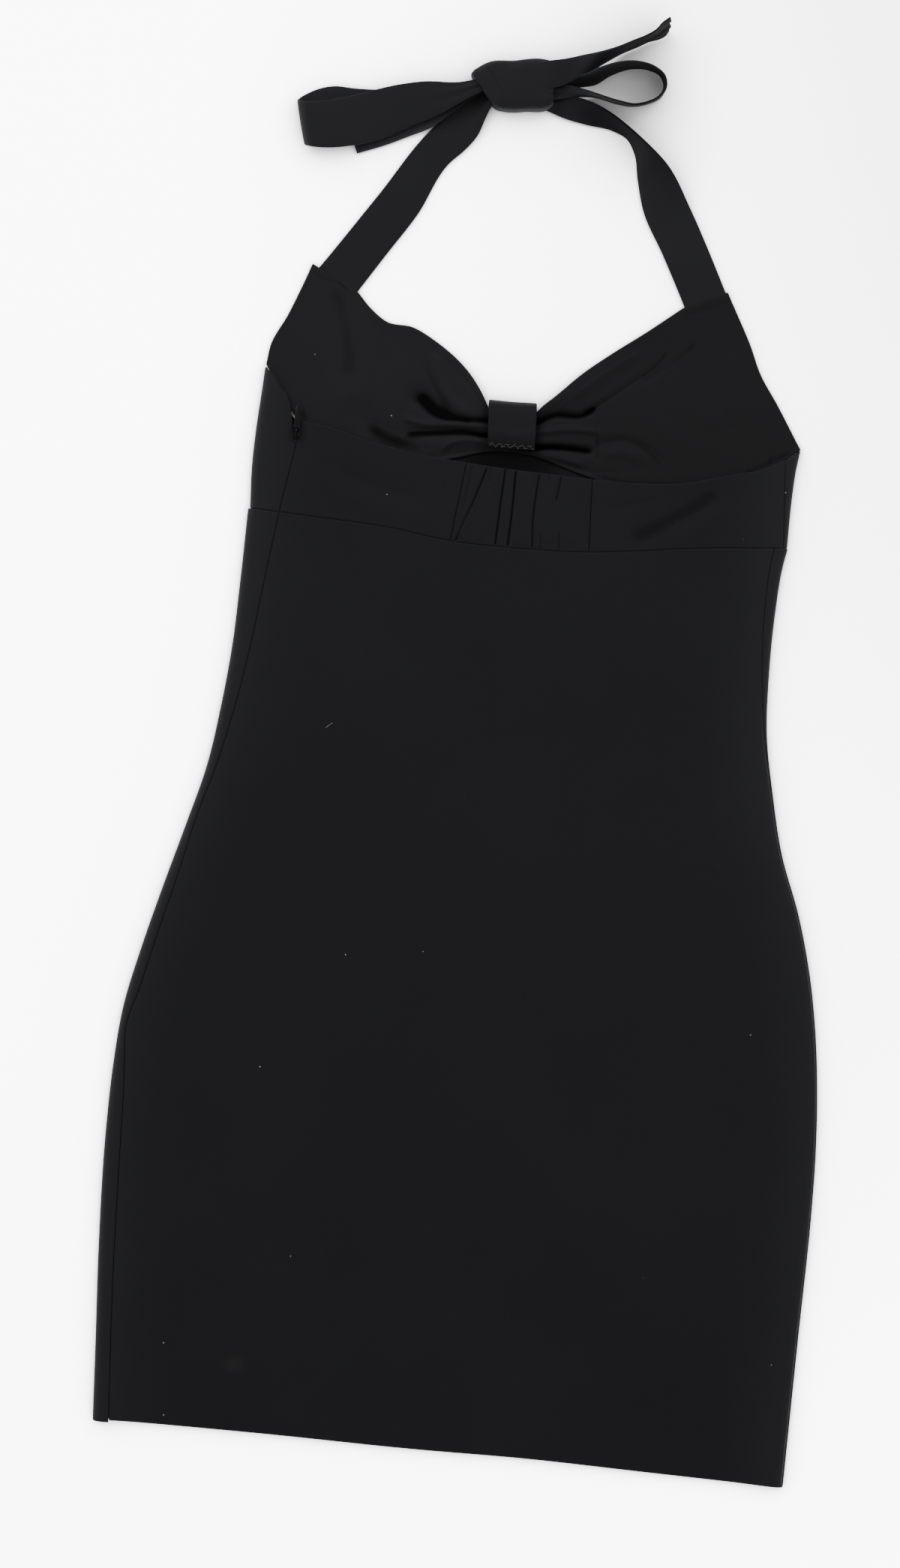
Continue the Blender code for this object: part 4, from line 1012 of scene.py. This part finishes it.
class DRESS_OT_tab(bpy.types.Operator):
    """Build the centre tab round the gathered cups, and the stitches at its low end"""
    bl_idname = "dress.tab"
    bl_label = "Centre tab"

    def execute(self, context):
        across, along = graded(*TAB_COLUMNS), graded(TAB_LENGTH, 1.0)
        line = rail(TAB_LOOP)
        spots = line(along)
        step = line(np.minimum(along + 0.01, 1)) - line(np.maximum(along - 0.01, 0))
        step /= np.linalg.norm(step, axis=1)[:, None]
        high = np.clip((spots[:, 0] - TAB_SPAN[0]) / (TAB_SPAN[1] - TAB_SPAN[0]), 0, 1)
        left, right = mix(TAB_LOW[0], TAB_HIGH[0], high), mix(TAB_LOW[1], TAB_HIGH[1], high)
        x = mix(left[None], right[None], across[:, None])
        ends = TAB_LENGTH * np.minimum(along, 1 - along)
        edge = np.minimum(np.minimum(x - left, right - x), ends[None])
        out = TAB_WALL / 2 - sink(edge) - 0.25 * np.sin(pi * across[:, None]) ** 2
        y = spots[:, 0] + step[:, 1] * out
        z = np.maximum(spots[:, 1] - step[:, 0] * out, 0.0)
        points = np.dstack((x, y, z))
        mesh = grid_mesh("tab_loop", points[::-1], np.dstack((x, 0 * x + TAB_LENGTH * along))[::-1])
        piece = add_piece("tab_loop", mesh, crepe("crepe_tie", along=True), "centre_tab",
                          wall=TAB_WALL * MM)
        self.stitch()
        return {"FINISHED"}

    def stitch(self):
        """Rough pale stitches along the tab's low end."""
        bm = bmesh.new()
        for k in range(STITCHES):
            x = mix(TAB_LOW[0] + 1.5, TAB_LOW[1] - 1.5, k / (STITCHES - 1))
            turn = 0.5 + 0.9 * sin(k * 2.3)
            y = 657.6 + 0.9 * sin(k * 1.7)
            add_fibre(bm, (x, y, 7.6 - 0.7 * (658.5 - y)), 1.9, 0.16, turn)
        mesh = bpy.data.meshes.new("tab_stitches")
        bm.to_mesh(mesh)
        bm.free()
        add_piece("tab_stitches", mesh, thread("grey_thread", STITCH_COLOUR), None)


# Ties and bow.

def ribbon_points(edges, stations, thickness, buckle=None):
    """A turned tie between two edges, as stations by points around it, and its own map."""
    first, second = rail(edges[0]), rail(edges[1])
    t = np.linspace(0, 1, stations + 1)
    a, b = first(t), second(t)
    ahead, behind = np.minimum(t + 0.01, 1), np.maximum(t - 0.01, 0)
    along = (first(ahead) + second(ahead) - first(behind) - second(behind)) / 2
    facing = np.cross(b - a, along)
    facing /= np.linalg.norm(facing, axis=1)[:, None]
    turn = np.linspace(0, 2 * pi, TIE_AROUND + 1)
    w = (1 - np.cos(turn)) / 2
    side = np.sign(np.sin(turn)) * np.abs(np.sin(turn)) ** 0.4
    off = side[None] * thickness / 2 + (buckle(t[:, None], w[None]) if buckle else 0.0)
    points = mix(a[:, None], b[:, None], w[None, :, None]) + facing[:, None] * off[..., None]
    run = np.concatenate(([0.0], np.cumsum(np.linalg.norm(np.diff((a + b) / 2, axis=0), axis=1))))
    wide = np.linalg.norm(b - a, axis=1)
    uvs = np.dstack((w[None] * wide[:, None], run[:, None] + 0 * w[None]))
    points[..., 2] = np.maximum(points[..., 2], 0.0)
    return points, uvs, run[-1]


def add_tie(name, node, edges, stations, buckle=None,
            shade=((0, FLAT_SHADE), (1, FLAT_SHADE))):
    """One stretch of a tie at its own length, with its painted shade as (share of the length, shade),
    painted light where the shade is negative.
    """
    thickness = bpy.context.scene.dress_cloth.tie / MM
    points, uvs, length = ribbon_points(edges, stations, thickness, buckle)
    shade = smooth(shade)(np.linspace(0, 1, stations + 1))[:, None]
    mesh = grid_mesh(name, points, uvs, closed=True, shade=shade)
    piece = add_piece(name, mesh, crepe("crepe_tie", along=True), node)


class DRESS_OT_ties(bpy.types.Operator):
    """Build the straps and the bow's loops and tails"""
    bl_idname = "dress.ties"
    bl_label = "Straps and bow"

    def execute(self, context):
        def pinched(end, ribs, depth):
            def buckle(t, w):
                near = ease((t - end) / (1 - end))
                return depth * near * np.sin(2 * pi * ribs * w) * np.sin(pi * w)
            return buckle

        def both_pinched(t, w):
            near = 1 - ease(np.minimum(t, 1 - t) / 0.22)
            return 0.55 * near * np.sin(4 * pi * w) * np.sin(pi * w)

        def crumpled(t, w):
            near = ease((t - 0.55) / 0.45)
            return 0.9 * near * np.sin(5 * pi * w + 5 * t) * np.sin(pi * w)

        # Painted shade where a tie stands on edge in the floor's glow, and painted light (negative shade)
        # where it lies in the shadow of a loop.
        add_tie("strap_left_tie", "strap_left", STRAP_LEFT, 110, pinched(0.7, 1.5, 0.5))
        add_tie("strap_right_tie", "strap_right", STRAP_RIGHT, 130,
                pinched(0.65, 1.0, 0.6),
                [(0, FLAT_SHADE), (0.45, 0), (0.55, 0.5), (0.63, 0.8), (0.75, 0.6), (0.85, 0),
                 (1, -0.5)])
        add_tie("tail_left_tie", "bow_tail_left", TAIL_LEFT, 80,
                pinched(0.6, 1.0, 0.4), [(0, -2.4), (0.5, -1.8), (0.7, -0.6), (1, 0)])
        add_tie("tail_right_tie", "bow_tail_right", TAIL_RIGHT, 100, crumpled,
                [(0, FLAT_SHADE), (0.25, -0.3), (0.4, -1.6), (0.55, -1.4), (0.75, 0.3), (1, 0.5)])
        add_tie("loop_left_tie", "bow_loop_left", LOOP_LEFT, 220, both_pinched)
        add_tie("loop_right_tie", "bow_loop_right", LOOP_RIGHT, 200, both_pinched,
                [(0, -0.4), (0.1, -0.8), (0.35, -0.8), (0.45, 0), (0.6, 0.5), (0.75, 0.3),
                 (0.85, -0.2), (1, -0.4)])
        return {"FINISHED"}


class DRESS_OT_knot(bpy.types.Operator):
    """Build the bow's knot, a tie wrapped round the others"""
    bl_idname = "dress.knot"
    bl_label = "Knot"

    def execute(self, context):
        u = np.linspace(0, 1, 91)
        widths = smooth([(0, 0.94), (0.02, 0.98), (0.12, 1.0), (0.5, 1.0), (0.96, 0.98), (1, 0.92)])
        size = widths(u)[:, None]
        head, foot = rail(KNOT_HEAD)(u), rail(KNOT_FOOT)(u)
        turn = np.linspace(0, 2 * pi, 81)[None]
        across = np.sign(np.cos(turn)) * np.abs(np.cos(turn)) ** KNOT_SQUARE
        up = np.sign(np.sin(turn)) * np.abs(np.sin(turn)) ** KNOT_SQUARE
        flat = mix(foot[:, None], head[:, None], (0.5 + across * size / 2)[..., None])
        rise = KNOT_HEIGHT / 2 * (1 + up * np.where(up > 0, size, 1.0))
        x, y = flat[..., 0], flat[..., 1]
        rise = rise + relief(KNOT_FOLDS, x, y) * ease(up)
        points = np.dstack((x, y, np.maximum(rise, 0.0)))
        uvs = np.dstack((x, 0 * x + turn * 14))
        mesh = grid_mesh("knot_wrap", points, uvs, closed=True, shade=FLAT_SHADE)
        piece = add_piece("knot_wrap", mesh, crepe("crepe_tie", along=True), "bow_knot")
        return {"FINISHED"}


# Zip and small things.

def add_fibre(bm, at, length, radius, turn, bend=0.0):
    """Adds a short thread lying at a point, as a thin capsule that may bend."""
    part = bmesh.new()
    bmesh.ops.create_cone(part, cap_ends=True, segments=6, radius1=radius, radius2=radius, depth=length)
    lengthwise = [e for e in part.edges if abs(e.verts[0].co.z - e.verts[1].co.z) > length / 2]
    bmesh.ops.subdivide_edges(part, edges=lengthwise, cuts=5)
    for vert in part.verts:
        share = vert.co.z / length
        narrow = 0.7 if abs(share) > 0.45 else 1.0
        vert.co.x, vert.co.y = vert.co.x * narrow + bend * (share * share - 0.25), vert.co.y * narrow
    move = Matrix.Translation(Vector(place(at))) @ Matrix.Rotation(turn, 4, "Z")
    move = move @ Matrix.Rotation(pi / 2, 4, "Y") @ Matrix.Scale(MM, 4)
    bmesh.ops.transform(part, matrix=move, verts=part.verts)
    mesh = bpy.data.meshes.new("fibre")
    part.to_mesh(mesh)
    part.free()
    bm.from_mesh(mesh)
    bpy.data.meshes.remove(mesh)


def top_of(at):
    """The height of the dress's upper face at a point of the layout, in mm."""
    spot = place((*at, 0.0))
    graph = bpy.context.evaluated_depsgraph_get()
    hit, where, *_ = bpy.context.scene.ray_cast(graph, Vector((spot[0], spot[1], 0.2)), Vector((0, 0, -1)))
    if not hit:
        raise RuntimeError(f"no cloth lies under {at}")
    return where.z / MM


class DRESS_OT_lint(bpy.types.Operator):
    """Scatter the few specks of lint and the one pale fibre"""
    bl_idname = "dress.lint"
    bl_label = "Lint"

    def execute(self, context):
        bm = bmesh.new()
        for k, at in enumerate(LINT):
            radius = 0.28 + 0.12 * sin(k * 1.9) ** 2
            made = bmesh.ops.create_icosphere(bm, subdivisions=2, radius=radius * MM)["verts"]
            bmesh.ops.scale(bm, vec=(1.0, 1.5, 0.5), verts=made)
            bmesh.ops.rotate(bm, matrix=Matrix.Rotation(k * 0.8, 3, "Z"), verts=made)
            bmesh.ops.translate(bm, vec=Vector(place((*at, top_of(at) + 0.1))), verts=made)
        add_fibre(bm, (*FIBRE_AT, top_of(FIBRE_AT) + 0.2), 5.5, 0.13, 0.7, 1.2)
        mesh = bpy.data.meshes.new("lint")
        bm.to_mesh(mesh)
        bm.free()
        add_piece("lint", mesh, thread("pale_lint", LINT_COLOUR), None)
        return {"FINISHED"}


def bridge_z():
    """Height of the bridge's centre, where the pull turns."""
    return SLIDER_Z + SLIDER_SIZE[2] + BRIDGE_RISE


def slider_mesh():
    """The slider: a tapered body with a shallow recess on top and an arched bridge."""
    bm = bmesh.new()
    made = bmesh.ops.create_cube(bm, size=1)["verts"]
    for vert in made:
        narrow = 0.62 if vert.co.y < 0 else 1.0
        vert.co = Vector(place((SLIDER_AT[0] + vert.co.x * SLIDER_SIZE[0] * narrow,
                                SLIDER_AT[1] + vert.co.y * SLIDER_SIZE[1],
                                SLIDER_Z + (vert.co.z + 0.5) * SLIDER_SIZE[2])))
    bmesh.ops.bevel(bm, geom=bm.edges[:], offset=0.5 * MM, segments=4, profile=0.5, affect="EDGES",
                    material=-1)
    top = max(bm.faces, key=lambda face: face.calc_center_median().z)
    bmesh.ops.inset_region(bm, faces=[top], thickness=0.35 * MM, depth=-0.15 * MM)
    turns = np.linspace(-0.9, pi + 0.9, 33)
    spin = np.linspace(0, 2 * pi, 15)
    ring = BRIDGE_RADIUS + BRIDGE_WIRE * np.cos(spin)
    arch = np.stack((SLIDER_AT[0] + BRIDGE_WIRE * np.sin(spin)[None] + 0 * turns[:, None],
                     SLIDER_AT[1] + ring[None] * np.cos(turns)[:, None],
                     bridge_z() + ring[None] * np.sin(turns)[:, None]), axis=-1)
    bm.from_mesh(grid_mesh("bridge", arch, arch[..., :2], closed=True))
    mesh = bpy.data.meshes.new("slider_body")
    bm.to_mesh(mesh)
    bm.free()
    return mesh


def pull_outline(turn, tip_at, eye_at):
    """A point of the teardrop's edge, at an angle about its middle."""
    share = (1 + cos(turn)) / 2
    half = mix(PULL_EYE, PULL_TIP, ease(share))
    middle = (tip_at + eye_at) / 2
    reach = (tip_at - eye_at) / 2
    blunt = abs(cos(turn)) ** 0.35 * (1 if cos(turn) > 0 else -1)
    return half * sin(turn), middle + reach * blunt + half * cos(turn)


def pull_mesh():
    """The pull: a teardrop plate with a round eye for the bridge."""
    eye_at, tip_at = BRIDGE_RADIUS, PULL_REACH - PULL_TIP
    bm = bmesh.new()
    outer = bmesh.ops.create_circle(bm, segments=64, radius=1)["verts"]
    for vert in outer:
        x, y = pull_outline(atan2(vert.co.x, vert.co.y), tip_at, eye_at)
        vert.co = Vector((x * MM, y * MM, 0))
    hole = bmesh.ops.create_circle(bm, segments=64, radius=0.85 * MM)["verts"]
    bmesh.ops.translate(bm, vec=(0, eye_at * MM, 0), verts=hole)
    bmesh.ops.bridge_loops(bm, edges=bm.edges[:])
    lifted = bmesh.ops.extrude_face_region(bm, geom=bm.faces[:])["geom"]
    bmesh.ops.translate(bm, vec=(0, 0, PULL_WALL * MM),
                        verts=[item for item in lifted if isinstance(item, bmesh.types.BMVert)])
    bmesh.ops.recalc_face_normals(bm, faces=bm.faces)
    rims = [edge for edge in bm.edges if len(edge.link_faces) == 2 and edge.calc_face_angle(0) > 1.2]
    bmesh.ops.bevel(bm, geom=rims, offset=0.18 * MM, segments=3, profile=0.5, affect="EDGES", material=-1)
    lean = Matrix.Translation(Vector(place((*SLIDER_AT, bridge_z()))))
    lean = lean @ Matrix.Rotation(-PULL_SLOPE, 4, "X") @ Matrix.Translation((0, 0, -PULL_WALL / 2 * MM))
    bmesh.ops.transform(bm, matrix=lean, verts=bm.verts)
    mesh = bpy.data.meshes.new("pull_tab")
    bm.to_mesh(mesh)
    bm.free()
    return mesh


class DRESS_OT_zip(bpy.types.Operator):
    """Build the zip: its tape and teeth, its slider and its pull"""
    bl_idname = "dress.zip"
    bl_label = "Zip"

    def execute(self, context):
        across, along = np.linspace(0, 1, 13), np.linspace(0, 1, 181)
        y = mix(*TAPE_SPAN, along)[None] + 0 * across[:, None]
        x = LEFT_SEAM(y) + mix(*TAPE_REACH, across[:, None])
        low, high = (skin(x, y, sides, True, TAPE_UNDER) for sides in (SKIRT_SIDES, BAND_SIDES))
        points = np.where((y < EMPIRE_LINE(ZIP_X))[..., None], low, high)
        mesh = grid_mesh("zip_band", points, points[..., :2])
        tape = add_piece("zip_band", mesh, tape_weave(), "zip_tape", wall=0.8 * MM)
        metal = lacquer()
        slider = add_piece("slider_body", slider_mesh(), metal, "zip_slider")
        pull = add_piece("pull_tab", pull_mesh(), metal, "zip_pull", body="pull")
        for piece in (slider, pull):
            piece.data.set_sharp_from_angle(angle=0.7)
        self.add_teeth(context)
        return {"FINISHED"}

    def add_teeth(self, context):
        """The coil's teeth that show beside the slider."""
        bm = bmesh.new()
        pitch = context.scene.dress_zip.tooth / MM
        for k in range(int(COIL_LENGTH / pitch)):
            y = SLIDER_AT[1] - COIL_BELOW + k * pitch
            for side in (-1, 1):
                x = LEFT_SEAM(y) + side * 0.75
                add_fibre(bm, (x, y + side * pitch / 4, 4.9), 1.3, 0.26, 0.0)
        mesh = bpy.data.meshes.new("zip_teeth")
        bm.to_mesh(mesh)
        bm.free()
        add_piece("zip_teeth", mesh, thread("coil_plastic", COIL_COLOUR, 0.5), None)


# Studio. The camera stands over a point of the layout.

CAMERA_OVER = (-26.9, 435.3)
SKY_STRENGTH = 0.68
SOFTBOXES = (("left_softbox", (-1.5, 1.7, 1.7), 1.0), ("right_softbox", (1.5, 1.9, 1.7), 0.8))
SOFTBOX_SIZE, LIT_POINT = 1.3, (0, 0.1, 0)


def add_light(name, at, size, power, towards):
    """A soft square light that faces a point."""
    light = bpy.data.lights.new(name, "AREA")
    light.shape, light.size, light.energy = "SQUARE", size, power
    lamp = bpy.data.objects.new(name, light)
    lamp.location = at
    lamp.rotation_euler = (Vector(towards) - Vector(at)).to_track_quat("-Z", "Y").to_euler()
    bpy.context.scene.collection.objects.link(lamp)


class DRESS_OT_studio(bpy.types.Operator):
    """Set up the pale floor, the soft light and the camera straight above"""
    bl_idname = "dress.studio"
    bl_label = "Studio"

    def execute(self, context):
        studio = context.scene.dress_studio
        mesh = bpy.data.meshes.new("studio_floor")
        bm = bmesh.new()
        bmesh.ops.create_grid(bm, x_segments=4, y_segments=4, size=4)
        bmesh.ops.translate(bm, vec=(0, 0, -0.1 * MM), verts=bm.verts)
        bm.to_mesh(mesh)
        bm.free()
        mesh.materials.append(floor_with_painted_glow())
        floor = bpy.data.objects.new("studio_floor", mesh)
        context.scene.collection.objects.link(floor)
        for name, at, share in SOFTBOXES:
            add_light(name, at, SOFTBOX_SIZE, studio.light * share, LIT_POINT)
        world = bpy.data.worlds.new("studio_air")
        world.use_nodes = True
        sky = world.node_tree.nodes["Background"]
        sky.inputs["Color"].default_value = (1, 1, 1, 1)
        sky.inputs["Strength"].default_value = SKY_STRENGTH
        context.scene.world = world
        lens = bpy.data.cameras.new("camera")
        lens.sensor_width = 36
        lens.lens = lens.sensor_width * studio.height / studio.view
        camera = bpy.data.objects.new("camera", lens)
        at = place((*CAMERA_OVER, 0))
        camera.location = (at[0], at[1], studio.height)
        camera.rotation_euler = (0, 0, studio.turn)
        context.scene.collection.objects.link(camera)
        context.scene.camera = camera
        return {"FINISHED"}


class DRESS_PT_sidebar(bpy.types.Panel):
    """Sizes and pieces of the dress"""
    bl_label = "Dress"
    bl_idname = "DRESS_PT_sidebar"
    bl_space_type = "VIEW_3D"
    bl_region_type = "UI"
    bl_category = "Dress"

    def draw(self, context):
        for group in (context.scene.dress_cloth, context.scene.dress_zip, context.scene.dress_studio):
            box = self.layout.box()
            for key in group.__annotations__:
                box.prop(group, key)
        for operator in OPERATORS:
            self.layout.operator(operator.bl_idname)


SETTINGS = (("dress_cloth", ClothSettings), ("dress_zip", ZipSettings), ("dress_studio", StudioSettings))
OPERATORS = (DRESS_OT_skirt, DRESS_OT_band, DRESS_OT_cups, DRESS_OT_tab, DRESS_OT_ties, DRESS_OT_knot,
             DRESS_OT_zip, DRESS_OT_lint, DRESS_OT_studio)


def register():
    """Register the settings, the operators and the panel."""
    for name, settings in SETTINGS:
        bpy.utils.register_class(settings)
        setattr(bpy.types.Scene, name, PointerProperty(type=settings))
    for item in (*OPERATORS, DRESS_PT_sidebar):
        bpy.utils.register_class(item)


def unregister():
    """Remove what register added."""
    for item in reversed((*OPERATORS, DRESS_PT_sidebar)):
        bpy.utils.unregister_class(item)
    for name, settings in SETTINGS:
        delattr(bpy.types.Scene, name)
        bpy.utils.unregister_class(settings)


def main():
    """Build every piece and the studio."""
    register()
    bpy.ops.dress.skirt()
    bpy.ops.dress.band()
    bpy.ops.dress.cups()
    bpy.ops.dress.tab()
    bpy.ops.dress.ties()
    bpy.ops.dress.knot()
    bpy.ops.dress.zip()
    bpy.ops.dress.lint()
    bpy.ops.dress.studio()


if __name__ == "__main__":
    main()
